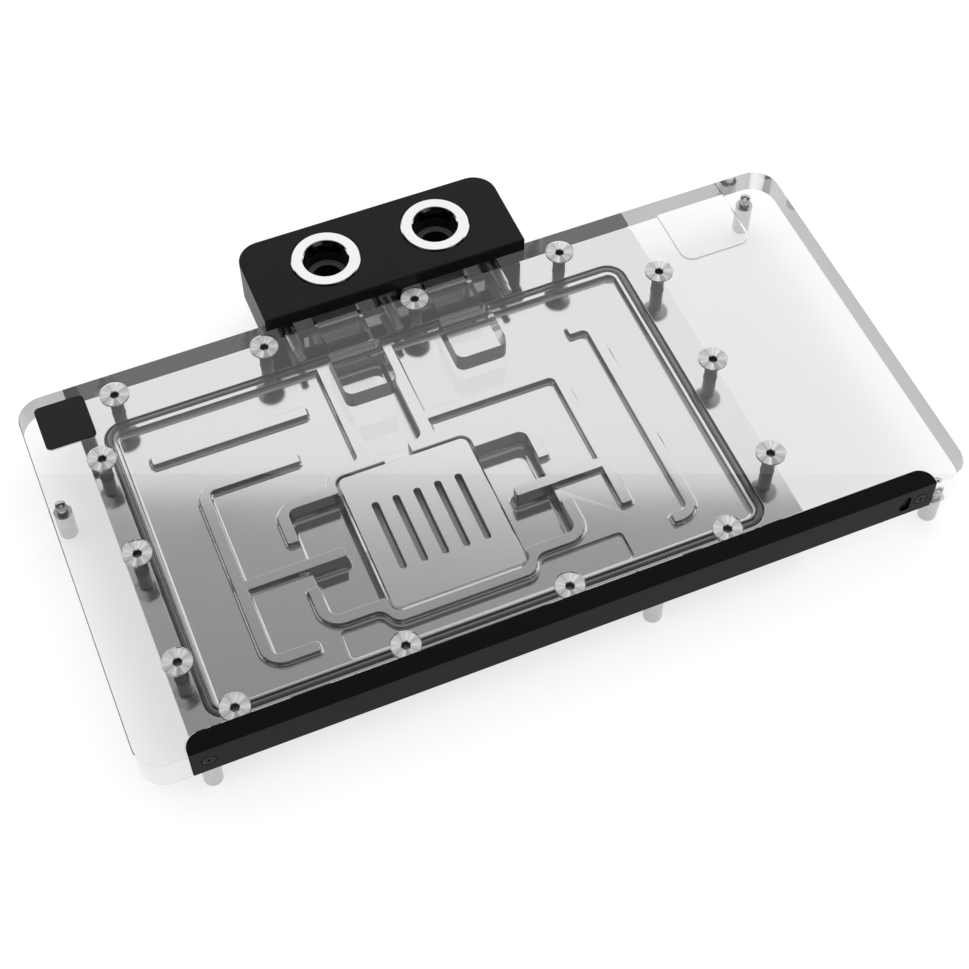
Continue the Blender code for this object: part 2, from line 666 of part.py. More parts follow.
def build_terminal(black, chrome, rubber, steel):
    """Port block behind the cover, with its collars, face seals and long screws."""
    front_y = COVER_Y1 + GAP
    outline = [
        (TERM_X0, TERM_Y0, 0.5), (TERM_X1, TERM_Y0, 0.5),
        (TERM_X1, TERM_Y1, TERM_R), (TERM_X0, TERM_Y1, TERM_R),
    ]
    c = TERM_CHAMFER
    bm = bmesh.new()
    levels = [
        (-0.3, TERM_Z0), (0.0, TERM_Z0 + 0.3), (0.0, TERM_Z1 - c),
        (-c * 0.3, TERM_Z1 - c * 0.3), (-c, TERM_Z1),
    ]
    stack(bm, lambda g: rounded(outline, g, 6), levels)
    block = place("terminal_block", bm, black)
    bm = bmesh.new()
    slab(bm, TERM_X0 - 1.0, TERM_X1 + 1.0, TERM_Y0 - 1.0, front_y, TERM_Z0 - 1.0, COVER_Z1 + GAP)
    cut(block, bm)

    bore_z = TERM_Z1 - PORT_DEPTH
    bm = bmesh.new()
    sleeve_z = TERM_Z1 - PORT_SLEEVE_L - GAP
    seat_z = TERM_Z1 - PORT_RING_T + PORT_RING_PROUD - GAP
    sleeve_r, seat_r = PORT_SLEEVE_R + GAP, PORT_RING_R + GAP
    for x in PORT_X:
        profile = [
            (PORT_R, bore_z), (PORT_R, sleeve_z), (sleeve_r, sleeve_z),
            (sleeve_r, seat_z), (seat_r, seat_z), (seat_r, TERM_Z1 + 1.0),
        ]
        turn_z(bm, x, PORT_Y, profile, 20)
    head_y = TERM_Y1 - TERM_HEAD_H - 0.8
    hole_r, head_r = TERM_SCREW_R + GAP, TERM_HEAD_R + GAP
    for x in TERM_SCREW_X:
        profile = [
            (hole_r, front_y - 1.0), (hole_r, head_y - GAP),
            (head_r, head_y - GAP), (head_r, TERM_Y1 + 1.0),
        ]
        turn_y(bm, x, TERM_SCREW_Z, profile)
    cut(block, bm)
    bm = bmesh.new()
    for x in PORT_X:
        turn_z(bm, x, PORT_Y, [(PORT_THROAT_R, TUNNEL_Z0 - 0.6), (PORT_THROAT_R, bore_z + 0.5)], 16)
    cut(block, bm)
    bm = bmesh.new()
    for port_x, feed_x in zip(PORT_X, FEED_X):
        x0, x1 = feed_x - TUNNEL_W / 2, port_x + PORT_THROAT_R
        slab(bm, x0, x1, front_y - 1.0, PORT_Y, TUNNEL_Z0, bore_z - 0.1)
    cut(block, bm)

    mid_z = (TUNNEL_Z0 + TUNNEL_Z1) / 2
    bm = bmesh.new()
    for x in FEED_X:
        groove_w, groove_y = PORT_SEAL_W + 2 * GAP, front_y + PORT_SEAL_T + GAP
        face_ring(bm, x, mid_z, GAP, groove_w, front_y - 1.0, groove_y)
    cut(block, bm)
    for number, x in enumerate(FEED_X, 1):
        bm = bmesh.new()
        face_ring(bm, x, mid_z, 2 * GAP, PORT_SEAL_W, front_y, front_y + PORT_SEAL_T)
        place(f"port_seal_{number}", bm, rubber)

    for number, x in enumerate(PORT_X, 1):
        top = TERM_Z1 + PORT_RING_PROUD
        low = TERM_Z1 - PORT_SLEEVE_L
        inner = PORT_R + 0.1
        section = [
            (inner, low), (PORT_SLEEVE_R, low), (PORT_SLEEVE_R, top - PORT_RING_T),
            (PORT_RING_R, top - PORT_RING_T), (PORT_RING_R, top - 0.3), (PORT_RING_R - 0.3, top),
            (inner + 0.5, top), (inner, top - 0.5),
        ]
        rings = [[(px, py, z) for px, py in circle(x, PORT_Y, radius, 20)] for radius, z in section]
        bm = bmesh.new()
        skin(bm, rings, closed=True)
        place(f"port_collar_{number}", bm, chrome)

    for number, x in enumerate(TERM_SCREW_X, 1):
        step_y = TERM_SCREW_TIP_Y + 2.6
        profile = [
            (TERM_SCREW_TIP_R, TERM_SCREW_TIP_Y), (TERM_SCREW_TIP_R, step_y + 0.3),
            (TERM_SCREW_R, step_y + 0.6), (TERM_SCREW_R, head_y), (TERM_HEAD_R, head_y),
            (TERM_HEAD_R, head_y + TERM_HEAD_H - 0.3), (TERM_HEAD_R - 0.3, head_y + TERM_HEAD_H),
        ]
        bm = bmesh.new()
        turn_y(bm, x, TERM_SCREW_Z, profile)
        screw = place(f"terminal_screw_{number}", bm, steel)
        bm = bmesh.new()
        turn_y(bm, x, TERM_SCREW_Z, [(1.3, head_y + TERM_HEAD_H - 1.4), (1.3, TERM_Y1 + 1.0)], 6)
        cut(screw, bm)


def face_ring(bm, x, z, inset, width, y0, y1):
    """A rounded rectangular band round a tunnel mouth, standing in the plane of the back face."""
    half_w, half_h = TUNNEL_W / 2 + inset, (TUNNEL_Z1 - TUNNEL_Z0) / 2 + inset
    outline = box_corners(x - half_w, x + half_w, z - half_h, z + half_h, 1.0)
    section = [(0.0, y0), (width, y0), (width, y1), (0.0, y1)]
    skin(bm, [[(px, y, pz) for px, pz in rounded(outline, grow)] for grow, y in section], closed=True)


def build_trim(black, dark, board_black):
    """Angle strip on the front edge, its two screws and the light strip it hides."""
    z1 = COVER_Z1 + TRIM_PROUD
    z0 = COVER_Z0
    y1 = COVER_Y0 + TRIM_W
    outline = [
        (TRIM_X0, COVER_Y0, 0.2), (TRIM_X1, COVER_Y0, 0.2), (TRIM_X1, y1, TRIM_R), (TRIM_X0, y1, TRIM_R),
    ]
    bm = bmesh.new()
    stack(bm, lambda g: rounded(outline, g), [(0.0, z0), (0.0, z1 - 0.2), (-0.2, z1)])
    strip = place("trim_strip", bm, black)
    bm = bmesh.new()
    slab(bm, TRIM_X0 - 1.0, TRIM_X1 + 1.0, COVER_Y0 + TRIM_T, y1 + 1.0, z0 - 1.0, z1 - TRIM_T)
    cut(strip, bm)
    screw_z = COVER_Z1 - TRIM_SCREW_DROP
    bm = bmesh.new()
    for x in TRIM_SCREW_X:
        hole = TRIM_SCREW_R + GAP
        wide = TRIM_HEAD_R + GAP
        profile = [
            (wide, COVER_Y0 - 1.0), (wide, COVER_Y0 + 0.1),
            (hole, COVER_Y0 + TRIM_T - 0.05), (hole, COVER_Y0 + 2.0),
        ]
        turn_y(bm, x, screw_z, profile)
    slot_x0, slot_x1 = SLOT_X - SLOT_W / 2, SLOT_X + SLOT_W / 2
    slot_z0, slot_z1 = screw_z - SLOT_H / 2, screw_z + SLOT_H / 2
    slab(bm, slot_x0, slot_x1, COVER_Y0 - 1.0, COVER_Y0 + 2.0, slot_z0, slot_z1)
    head_y, head_columns = SCREW_ROWS[1]
    head_r = SCREW_HEAD_R + GAP
    for x in head_columns:
        turn_z(bm, x, head_y, [(head_r, z1 - TRIM_T - 1.0), (head_r, COVER_Z1 + 0.1)])
    cut(strip, bm)

    for number, x in enumerate(TRIM_SCREW_X, 1):
        y = COVER_Y0 - 0.05
        profile = [
            (TRIM_HEAD_R, y), (TRIM_HEAD_R, y + 0.15), (TRIM_SCREW_R, y + 0.95), (TRIM_SCREW_R, y + 7.0),
        ]
        bm = bmesh.new()
        turn_y(bm, x, screw_z, profile, 12)
        screw = place(f"trim_screw_{number}", bm, dark)
        bm = bmesh.new()
        arm, half = 1.0, 0.22
        slab(bm, x - arm, x + arm, y - 0.5, y + 0.5, screw_z - half, screw_z + half)
        cut(screw, bm)
        bm = bmesh.new()
        slab(bm, x - half, x + half, y - 0.5, y + 0.5, screw_z - arm, screw_z + arm)
        cut(screw, bm)

    board_z = COVER_Z1 - LED_TRENCH_D + GAP
    y0, y1 = COVER_Y0 + TRIM_T + 2 * GAP, COVER_Y0 + LED_TRENCH_Y - GAP
    bm = bmesh.new()
    slab(bm, LED_X0, LED_X1, y0, y1, board_z, board_z + LED_BOARD_T)
    board = place("light_strip", bm, board_black)
    bm = bmesh.new()
    pitch = (LED_X1 - LED_X0) / LED_COUNT
    y, half = (y0 + y1) / 2, LED_SIZE / 2
    led_z = board_z + LED_BOARD_T
    for k in range(LED_COUNT):
        x = LED_X0 + (k + 0.5) * pitch
        slab(bm, x - half, x + half, y - half * 0.8, y + half * 0.8, led_z - 0.1, led_z + 0.8)
    socket_x1 = slot_x1 + SOCKET_WALL - GAP
    slab(bm, LED_X1 - 0.2, socket_x1, y0, y1 - 0.5, SOCKET_Z0 + GAP, led_z + 0.2)
    join(board, bm)


def build_badge(black):
    outline = box_corners(BADGE_X0, BADGE_X1, BADGE_Y0, BADGE_Y1, BADGE_R)
    z1 = COVER_Z1 + BADGE_PROUD
    bm = bmesh.new()
    stack(bm, lambda g: rounded(outline, g), [(0.0, z1 - BADGE_T), (0.0, z1 - 0.15), (-0.15, z1)])
    place("badge_plate", bm, black)


clear_scene()
nickel = make_material("nickel", (0.72, 0.72, 0.72), 1.0, 0.18)
steel = make_material("steel", (0.75, 0.75, 0.75), 1.0, 0.28)
chrome = make_material("chrome", (0.88, 0.88, 0.88), 1.0, 0.08)
acetal = make_material("acetal", (0.015, 0.015, 0.015), 0.0, 0.4)
black_metal = make_material("black_metal", (0.02, 0.02, 0.02), 0.6, 0.45)
clear = make_material("clear_acrylic", (0.97, 0.98, 0.98), 0.0, 0.02, 1.0)
rubber = make_material("rubber", (0.02, 0.02, 0.02), 0.0, 0.6)
board_black = make_material("light_board", (0.03, 0.03, 0.03), 0.0, 0.5)

build_cold_plate(nickel)
build_jet_plate(nickel)
build_chamber_seal(rubber)
build_cover(clear)
build_cover_screws(steel)
build_standoffs(steel)
build_terminal(acetal, chrome, rubber, steel)
build_trim(black_metal, steel, board_black)
build_badge(black_metal)
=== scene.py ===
"""A GPU water block on a pale studio floor: nickel cold plate, clear cover and black port block."""
from math import atan2, cos, hypot, pi, radians, sin, tan

import bmesh
import bpy
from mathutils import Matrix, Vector


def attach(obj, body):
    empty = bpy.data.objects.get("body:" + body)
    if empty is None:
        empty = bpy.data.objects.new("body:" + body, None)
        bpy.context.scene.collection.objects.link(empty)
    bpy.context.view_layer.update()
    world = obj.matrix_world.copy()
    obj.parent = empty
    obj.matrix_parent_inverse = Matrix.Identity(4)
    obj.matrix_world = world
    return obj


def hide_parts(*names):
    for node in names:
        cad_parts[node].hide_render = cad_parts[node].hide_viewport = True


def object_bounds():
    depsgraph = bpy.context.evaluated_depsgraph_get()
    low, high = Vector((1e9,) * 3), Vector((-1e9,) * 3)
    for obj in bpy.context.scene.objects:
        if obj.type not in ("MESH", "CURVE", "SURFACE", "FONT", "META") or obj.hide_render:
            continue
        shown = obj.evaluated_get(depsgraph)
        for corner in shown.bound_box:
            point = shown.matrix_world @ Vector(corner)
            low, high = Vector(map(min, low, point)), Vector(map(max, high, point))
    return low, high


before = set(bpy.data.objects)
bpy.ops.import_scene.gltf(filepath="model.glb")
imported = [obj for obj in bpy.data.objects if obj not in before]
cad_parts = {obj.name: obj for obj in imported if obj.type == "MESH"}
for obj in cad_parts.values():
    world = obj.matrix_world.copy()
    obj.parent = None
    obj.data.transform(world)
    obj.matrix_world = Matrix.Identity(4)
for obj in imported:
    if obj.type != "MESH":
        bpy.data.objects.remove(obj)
cad_low, cad_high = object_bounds()

# The camera stands before the trim strip, to its left, and looks steeply down through a long
# portrait lens, so that the far edge of the block hardly narrows.
CAMERA_PLACE = Vector((-0.0987, -0.2755, 0.4604))
CAMERA_TURN = radians(22.68)
CAMERA_DROP = radians(55.85)
CAMERA_LENS = 70.0
CAMERA_FILM = 36.0
ahead = Vector((sin(CAMERA_TURN), cos(CAMERA_TURN), 0.0))
aside = Vector((cos(CAMERA_TURN), -sin(CAMERA_TURN), 0.0))
camera = bpy.data.objects.new("camera", bpy.data.cameras.new("camera"))
bpy.context.collection.objects.link(camera)
camera.data.lens = CAMERA_LENS
camera.data.sensor_width = CAMERA_FILM
camera.data.clip_start = 0.02
camera.data.clip_end = 20.0
camera.location = CAMERA_PLACE
sight = ahead * cos(CAMERA_DROP) - Vector((0.0, 0.0, sin(CAMERA_DROP)))
camera.rotation_euler = sight.to_track_quat("-Z", "Y").to_euler()
bpy.context.scene.camera = camera
bpy.context.scene.view_settings.view_transform = "Standard"


# The studio is a white room with a pale floor. The floor keeps the shadow of the block, and its
# own glow brings the open floor up to paper white.
class Signal:
    """A socket of a shader tree. Sums and products add Math nodes, and node() adds any other."""

    def __init__(self, tree, socket=None):
        self.tree = tree
        self.socket = socket

    def node(self, kind, settings, inputs, output=0):
        made = self.tree.nodes.new(kind)
        for name, value in settings.items():
            if name == "stops":
                self.set_stops(made.color_ramp.elements, value)
            else:
                setattr(made, name, value)
        for name, value in inputs.items():
            if isinstance(value, Signal):
                self.tree.links.new(value.socket, made.inputs[name])
            else:
                made.inputs[name].default_value = value
        return Signal(self.tree, made.outputs[output])

    def set_stops(self, elements, stops):
        while len(elements) < len(stops):
            elements.new(1.0)
        for element, (place, level) in zip(elements, stops):
            element.position = place
            element.color = grey(level)

    def maths(self, operation, first, second=0.0):
        return self.node("ShaderNodeMath", {"operation": operation}, {0: first, 1: second})

    def __add__(self, other):
        return self.maths("ADD", self, other)

    def __radd__(self, other):
        return self.maths("ADD", other, self)

    def __sub__(self, other):
        return self.maths("SUBTRACT", self, other)

    def __rsub__(self, other):
        return self.maths("SUBTRACT", other, self)

    def __mul__(self, other):
        return self.maths("MULTIPLY", self, other)

    def __rmul__(self, other):
        return self.maths("MULTIPLY", other, self)

    def __pow__(self, other):
        return self.maths("POWER", self, other)

    def __abs__(self):
        return self.maths("ABSOLUTE", self)

    def sine(self):
        return self.maths("SINE", self)

    def higher(self, other):
        return self.maths("MAXIMUM", self, other)

    def above(self, other):
        return self.maths("GREATER_THAN", self, other)

    def near(self, middle, reach):
        return self.node("ShaderNodeMath", {"operation": "COMPARE"}, {0: self, 1: middle, 2: reach})

    def part(self, axis):
        return self.node("ShaderNodeSeparateXYZ", {}, {0: self}, axis)

    def spoke(self):
        """The direction from the upright axis of a round piece to a place on it."""
        flat = self.node(
            "ShaderNodeVectorMath", {"operation": "MULTIPLY"}, {0: self, 1: (1.0, 1.0, 0.0)})
        return self.node("ShaderNodeVectorMath", {"operation": "NORMALIZE"}, {0: flat})

    def noise(self, scale, detail, **more):
        values = {"Vector": self, "Scale": scale, "Detail": detail, **more}
        return self.node("ShaderNodeTexNoise", {}, values)

    def ramp(self, *stops):
        return self.node("ShaderNodeValToRGB", {"stops": stops}, {0: self})

    def between(self, first, second):
        """The first colour where this is 0 and the second where it is 1."""
        return self.node("ShaderNodeMix", {"data_type": "RGBA"}, {0: self, 6: first, 7: second}, 2)

    def relief(self, strength, depth):
        values = {"Strength": strength, "Distance": depth, "Height": self}
        return self.node("ShaderNodeBump", {}, values)

    def blend(self, first, second):
        """The first shader where this is 0 and the second where it is 1."""
        return self.node("ShaderNodeMixShader", {}, {0: self, 1: first, 2: second})

    def own_place(self):
        return self.node("ShaderNodeTexCoord", {}, {}, "Object")

    def ray(self, question):
        return self.node("ShaderNodeLightPath", {}, {}, question)


def grey(level):
    return (level, level, level, 1.0)


def new_finish(name):
    material = bpy.data.materials.new(name)
    material.use_nodes = True
    material.node_tree.nodes.clear()
    return material, Signal(material.node_tree)


def close_finish(material, shader):
    end = material.node_tree.nodes.new("ShaderNodeOutputMaterial")
    material.node_tree.links.new(shader.socket, end.inputs["Surface"])


def studio_sheet(name, corners, faces, material):
    mesh = bpy.data.meshes.new(name)
    mesh.from_pydata(corners, [], faces)
    mesh.materials.append(material)
    sheet = bpy.data.objects.new(name, mesh)
    bpy.context.collection.objects.link(sheet)
    return sheet


world = bpy.data.worlds.new("white room")
bpy.context.scene.world = world
world.use_nodes = True
room = world.node_tree.nodes["Background"]
room.inputs["Color"].default_value = grey(1.0)
room.inputs["Strength"].default_value = 1.0

FLOOR_HALF = 3.0
FLOOR_GAP = 0.0003
FLOOR_GLOW = 0.6
floor_z = cad_low.z - FLOOR_GAP
floor_corners = [
    (-FLOOR_HALF, -FLOOR_HALF, floor_z), (FLOOR_HALF, -FLOOR_HALF, floor_z),
    (FLOOR_HALF, FLOOR_HALF, floor_z), (-FLOOR_HALF, FLOOR_HALF, floor_z)]
paper, start = new_finish("paper floor")
# The glow shows only where the eye meets the floor: straight, in a mirror or through something clear.
seen = start.ray("Is Camera Ray").higher(start.ray("Is Glossy Ray"))
seen = seen.higher(start.ray("Is Transmission Ray"))
lit = start.node("ShaderNodeBsdfDiffuse", {}, {"Color": grey(0.97)})
glow = start.node("ShaderNodeEmission", {}, {"Strength": 1.1})
close_finish(paper, (seen * FLOOR_GLOW).blend(lit, glow))
studio_sheet("floor", floor_corners, [(0, 1, 2, 3)], paper)


# A gray canopy hangs over the camera and comes down behind it. Polished metal mirrors it, so the
# near half of the plate turns gray where its straight back edge ends the white of the room.
def mirrored_only(thing):
    thing.visible_camera = False
    thing.visible_diffuse = False
    thing.visible_shadow = False


CANOPY_Z = 0.60
CANOPY_BACK = 0.70
CANOPY_FRONT = -0.55
CANOPY_HALF = 1.6
CANOPY_LIFT = 0.02
CANOPY_STEPS = 10
CANOPY_DROP = radians(77.0)
SHADE_FROM = 0.7
SHADE_LENGTH = 1.1
canopy_rows = [(CANOPY_BACK, CANOPY_Z)]
for k in range(CANOPY_STEPS + 1):
    angle = CANOPY_DROP * k / CANOPY_STEPS
    canopy_rows.append((CANOPY_FRONT * sin(angle), CANOPY_Z * cos(angle) + CANOPY_LIFT))
canopy_corners = []
for along, height in canopy_rows:
    for side in (-CANOPY_HALF, CANOPY_HALF):
        spot = CAMERA_PLACE + ahead * along + aside * side
        canopy_corners.append((spot.x, spot.y, height))
canopy_faces = [(k, k + 1, k + 3, k + 2) for k in range(0, 2 * CANOPY_STEPS + 2, 2)]
gray, start = new_finish("canopy cloth")
along = start.node(
    "ShaderNodeVectorMath", {"operation": "DOT_PRODUCT"},
    {0: start.own_place(), 1: tuple(ahead)}, "Value")
shade = ((along + SHADE_FROM) * (1.0 / SHADE_LENGTH)).ramp(
    (0.0, 0.05), (0.18, 0.07), (0.32, 0.19), (0.73, 0.2), (0.82, 0.32), (1.0, 0.42))
close_finish(gray, start.node("ShaderNodeEmission", {}, {"Color": shade, "Strength": 1.0}))
mirrored_only(studio_sheet("canopy", canopy_corners, canopy_faces, gray))


# A black flag stands low on the left, outside the picture. Bright metal mirrors it, which draws
# the feet of the ribs.
FLAG_NEAR = (-0.75, -1.3)
FLAG_FAR = (-0.5, 0.95)
FLAG_LOW = 0.17
FLAG_HIGH = 0.5
flag_corners = [
    (*FLAG_NEAR, FLAG_LOW), (*FLAG_FAR, FLAG_LOW), (*FLAG_FAR, FLAG_HIGH), (*FLAG_NEAR, FLAG_HIGH)]
black, start = new_finish("flag cloth")
close_finish(black, start.node("ShaderNodeEmission", {}, {"Color": grey(0.05), "Strength": 1.0}))
mirrored_only(studio_sheet("black_flag", flag_corners, [(0, 1, 2, 3)], black))


# One wide soft lamp stands high behind the right end, so that what shadow there is falls to the
# front left.
LAMP_PLACE = Vector((0.45, 0.35, 0.75))
LAMP_AIM = Vector((0.02, 0.0, 0.0))
lamp = bpy.data.objects.new("soft lamp", bpy.data.lights.new("soft lamp", "AREA"))
bpy.context.collection.objects.link(lamp)
lamp.data.shape = "SQUARE"
lamp.data.size = 0.7
lamp.data.energy = 1.5
lamp.location = LAMP_PLACE
lamp.rotation_euler = (LAMP_AIM - LAMP_PLACE).to_track_quat("-Z", "Y").to_euler()
lamp.visible_glossy = False
lamp.visible_transmission = False


# The cold plate is milled from one block of copper and nickel plated. Its channels, guide ribs and
# deep pocket have round feet left by a ball cutter, and every top edge is broken by a file.
MM = 0.001
WELD_GAP = 0.004
FLAT_ANGLE = radians(0.4)
WIDE_FLAT = 20.0
LEVEL = 0.999
LEAST_CORNER = 0.12
PLATE_TOP = 9.1
PLATE_FOOT = 1.0
ABOVE_PLATE = PLATE_TOP + 1.0
CHANNEL_FLOOR = 7.1
POCKET_FLOOR = 2.4
TROUGH_FLOOR = 6.0
INLET_FLOOR = 3.8
BALL_R = 1.2
POCKET_BALL_R = 1.6
FOOT_SINK = 0.03
EDGE_BREAK = 0.14


def corner_path(corners, grow=0.0, steps=8):
    """A closed outline from (x, y, radius) corners that turn left, grown outwards by grow."""
    points = []
    doubled_area = sum(
        corners[k - 1][0] * y - x * corners[k - 1][1] for k, (x, y, _) in enumerate(corners))
    if doubled_area < 0:
        corners = list(reversed(corners))
    for k, (bx, by, radius) in enumerate(corners):
        ax, ay, _ = corners[k - 1]
        cx, cy, _ = corners[(k + 1) % len(corners)]
        run_in, run_out = hypot(bx - ax, by - ay), hypot(cx - bx, cy - by)
        ux, uy = (bx - ax) / run_in, (by - ay) / run_in
        vx, vy = (cx - bx) / run_out, (cy - by) / run_out
        turn = atan2(ux * vy - uy * vx, ux * vx + uy * vy)
        side = 1 if turn > 0 else -1
        mitre = grow / cos(turn / 2)
        out_x, out_y = uy + vy, -(ux + vx)
        size = hypot(out_x, out_y)
        px, py = bx + out_x / size * mitre, by + out_y / size * mitre
        radius = max(radius + side * grow, LEAST_CORNER)
        back = radius * tan(abs(turn) / 2)
        ox = px - ux * back - side * uy * radius
        oy = py - uy * back + side * ux * radius
        first = atan2(-side * ux, side * uy)
        for step in range(steps + 1):
            angle = first + turn * step / steps
            points.append((ox + radius * cos(angle), oy + radius * sin(angle)))
    return points


def box_path(x0, x1, y0, y1, radius):
    return [(x0, y0, radius), (x1, y0, radius), (x1, y1, radius), (x0, y1, radius)]


def loft(bm, rings, closed=False):
    """Skin rings of (x, y, z) points in millimetres, and cap the ends unless the rings close."""
    rows = [[bm.verts.new((x * MM, y * MM, z * MM)) for x, y, z in ring] for ring in rings]
    pairs = list(zip(rows, rows[1:]))
    if closed:
        pairs.append((rows[-1], rows[0]))
    for low, high in pairs:
        for k in range(len(low)):
            bm.faces.new((low[k - 1], low[k], high[k], high[k - 1]))
    if not closed:
        bm.faces.new(list(reversed(rows[0])))
        bm.faces.new(rows[-1])


def column(bm, corners, levels, steps=8, closed=False):
    """An upright solid: the outline of corners at each (grow, z) of levels."""
    rings = [[(x, y, z) for x, y in corner_path(corners, grow, steps)] for grow, z in levels]
    loft(bm, rings, closed)


def block(bm, x0, x1, y0, y1, z0, z1):
    loft(bm, [[(x0, y0, z), (x1, y0, z), (x1, y1, z), (x0, y1, z)] for z in (z0, z1)])


def disc(x, y, radius, steps):
    angles = [2 * pi * k / steps for k in range(steps)]
    return [(x + radius * cos(angle), y + radius * sin(angle)) for angle in angles]


def turned(bm, x, y, profile, steps=48, closed=False):
    """A turned solid on an upright axis, from (radius, z) points, or a ring if they close."""
    rings = [[(px, py, z) for px, py in disc(x, y, radius, steps)] for radius, z in profile]
    loft(bm, rings, closed)


def machined(name, bm):
    bmesh.ops.recalc_face_normals(bm, faces=bm.faces)
    mesh = bpy.data.meshes.new(name)
    bm.to_mesh(mesh)
    bm.free()
    thing = bpy.data.objects.new(name, mesh)
    bpy.context.collection.objects.link(thing)
    return thing


def applied(thing):
    graph = bpy.context.evaluated_depsgraph_get()
    made = bpy.data.meshes.new_from_object(thing.evaluated_get(graph))
    old = thing.data
    thing.modifiers.clear()
    thing.data = made
    bpy.data.meshes.remove(old)
    made.name = thing.name


def mill(thing, bm, operation="DIFFERENCE"):
    """Cut bm out of a piece, or weld it on with UNION."""
    cutter = machined("cutter", bm)
    step = thing.modifiers.new("mill", "BOOLEAN")
    step.operation = operation
    step.solver = "EXACT"
    step.object = cutter
    applied(thing)
    bpy.data.objects.remove(cutter, do_unlink=True)


def dressed(thing, material, break_edge=0.0, sharp=35.0):
    """Break the sharp edges, lap the wide flats true, and give the piece its finish."""
    bm = bmesh.new()
    bm.from_mesh(thing.data)
    bmesh.ops.remove_doubles(bm, verts=bm.verts, dist=WELD_GAP * MM)
    bmesh.ops.dissolve_degenerate(bm, edges=bm.edges, dist=WELD_GAP * MM)
    bmesh.ops.dissolve_limit(bm, angle_limit=FLAT_ANGLE, verts=bm.verts, edges=bm.edges)
    bm.to_mesh(thing.data)
    bm.free()
    if break_edge:
        step = thing.modifiers.new("file", "BEVEL")
        step.limit_method = "ANGLE"
        step.angle_limit = radians(sharp)
        step.width = break_edge * MM
        step.segments = 2
        step.use_clamp_overlap = False
        step.harden_normals = False
        applied(thing)
    bm = bmesh.new()
    bm.from_mesh(thing.data)
    for face in bm.faces:
        if abs(face.normal.z) > LEVEL and face.calc_area() > WIDE_FLAT * MM * MM:
            levels = sorted(vert.co.z for vert in face.verts)
            for vert in face.verts:
                vert.co.z = levels[len(levels) // 2]
    bm.to_mesh(thing.data)
    bm.free()
    thing.data.shade_smooth()
    thing.data.set_sharp_from_angle(angle=radians(sharp))
    step = thing.modifiers.new("flats", "WEIGHTED_NORMAL")
    step.keep_sharp = True
    step.weight = 100
    applied(thing)
    thing.data.materials.clear()
    thing.data.materials.append(material)


def round_foot(floor_z, top_z, ball, root_z, steps=6):
    """Levels of a wall that flares into the floor, for a solid that stands on it."""
    levels = [(ball, root_z)]
    for k in range(steps + 1):
        angle = pi / 2 * k / steps
        levels.append((ball * (1 - sin(angle)), floor_z - FOOT_SINK + ball * (1 - cos(angle))))
    return levels + [(0.0, top_z)]


def round_pit(floor_z, ball, top_z=ABOVE_PLATE, steps=6):
    """Levels of a ball ended cutter that mills a basin."""
    levels = []
    for k in range(steps + 1):
        angle = pi / 2 * k / steps
        levels.append((-ball * (1 - sin(angle)), floor_z + ball * (1 - cos(angle))))
    return levels + [(0.0, top_z)]


PLATE_PATH = box_path(-84.3, 99.1, -42.8, 78.9, 2.0)
CHANNELS_PATH = box_path(-74.7, 86.1, -33.9, 63.3, 2.6)
TROUGH_PATH = box_path(-36.5, 49.0, -32.5, -23.1, 1.6)
bm = bmesh.new()
column(bm, PLATE_PATH, [(0.0, PLATE_FOOT), (0.0, PLATE_TOP)])
plate = machined("nickel_cold_plate", bm)
bm = bmesh.new()
column(bm, CHANNELS_PATH, round_pit(CHANNEL_FLOOR, BALL_R))
mill(plate, bm)
bm = bmesh.new()
column(bm, TROUGH_PATH, round_pit(TROUGH_FLOOR, 0.7, CHANNEL_FLOOR + 0.6))
mill(plate, bm)

# A raised platform carries the jet plate, with a bracket at each corner and the land of the inlet.
# The guide ribs stand round it.
right_half = [
    (23.5, -22.0, 4.0), (40.1, -22.0, 6.5), (40.1, -8.0, 0.6), (33.9, -8.0, 0.6),
    (33.9, 8.0, 0.6), (40.1, 8.0, 0.6), (40.1, 22.0, 6.5), (23.5, 22.0, 4.0)]
inlet_land = [
    (20.5, 27.3, 4.0), (12.3, 27.3, 1.9), (12.3, 64.3, 0.6),
    (-11.8, 64.3, 0.6), (-11.8, 27.3, 1.9), (-20.5, 27.3, 4.0)]
platform = right_half + inlet_land + [(-x, -y, r) for x, y, r in right_half]
platform += [(-20.5, -27.3, 4.0), (20.5, -27.3, 4.0)]
guides = [
    [(-58.7, 36.8, 6.5), (-58.7, -27.4, 6.5), (-43.2, -27.4, 0.6), (-43.2, -24.2, 0.6),
     (-55.5, -24.2, 1.9), (-55.5, 33.6, 1.9), (-27.5, 33.6, 0.6), (-27.5, 36.8, 0.6)],
    box_path(-67.3, -19.8, 48.6, 51.8, 0.6),
    [(10.8, 33.5, 0.3), (52.6, 33.5, 1.9), (52.6, -15.8, 0.6),
     (55.8, -15.8, 0.6), (55.8, 36.7, 6.5), (10.8, 36.7, 0.3)],
    [(63.9, -27.3, 0.6), (72.5, -27.3, 6.5), (72.5, 49.4, 4.0), (63.9, 49.4, 0.6),
     (63.9, 46.2, 0.6), (69.3, 46.2, 1.9), (69.3, -24.1, 1.9), (63.9, -24.1, 0.6)],
    box_path(-57.7, -38.3, -1.8, 1.4, 0.3), box_path(38.3, 54.8, -1.8, 1.4, 0.3)]
for outline in [platform] + guides:
    bm = bmesh.new()
    column(bm, outline, round_foot(CHANNEL_FLOOR, PLATE_TOP, BALL_R, TROUGH_FLOOR - 0.5))
    mill(plate, bm, "UNION")
POCKET_PATH = box_path(-36.9, 36.9, -18.8, 18.8, 2.6)
POCKET_STUBS = [box_path(x0, x1, -1.8, 1.4, 0.6) for x0, x1 in ((-39.5, -26.1), (25.9, 39.5))]
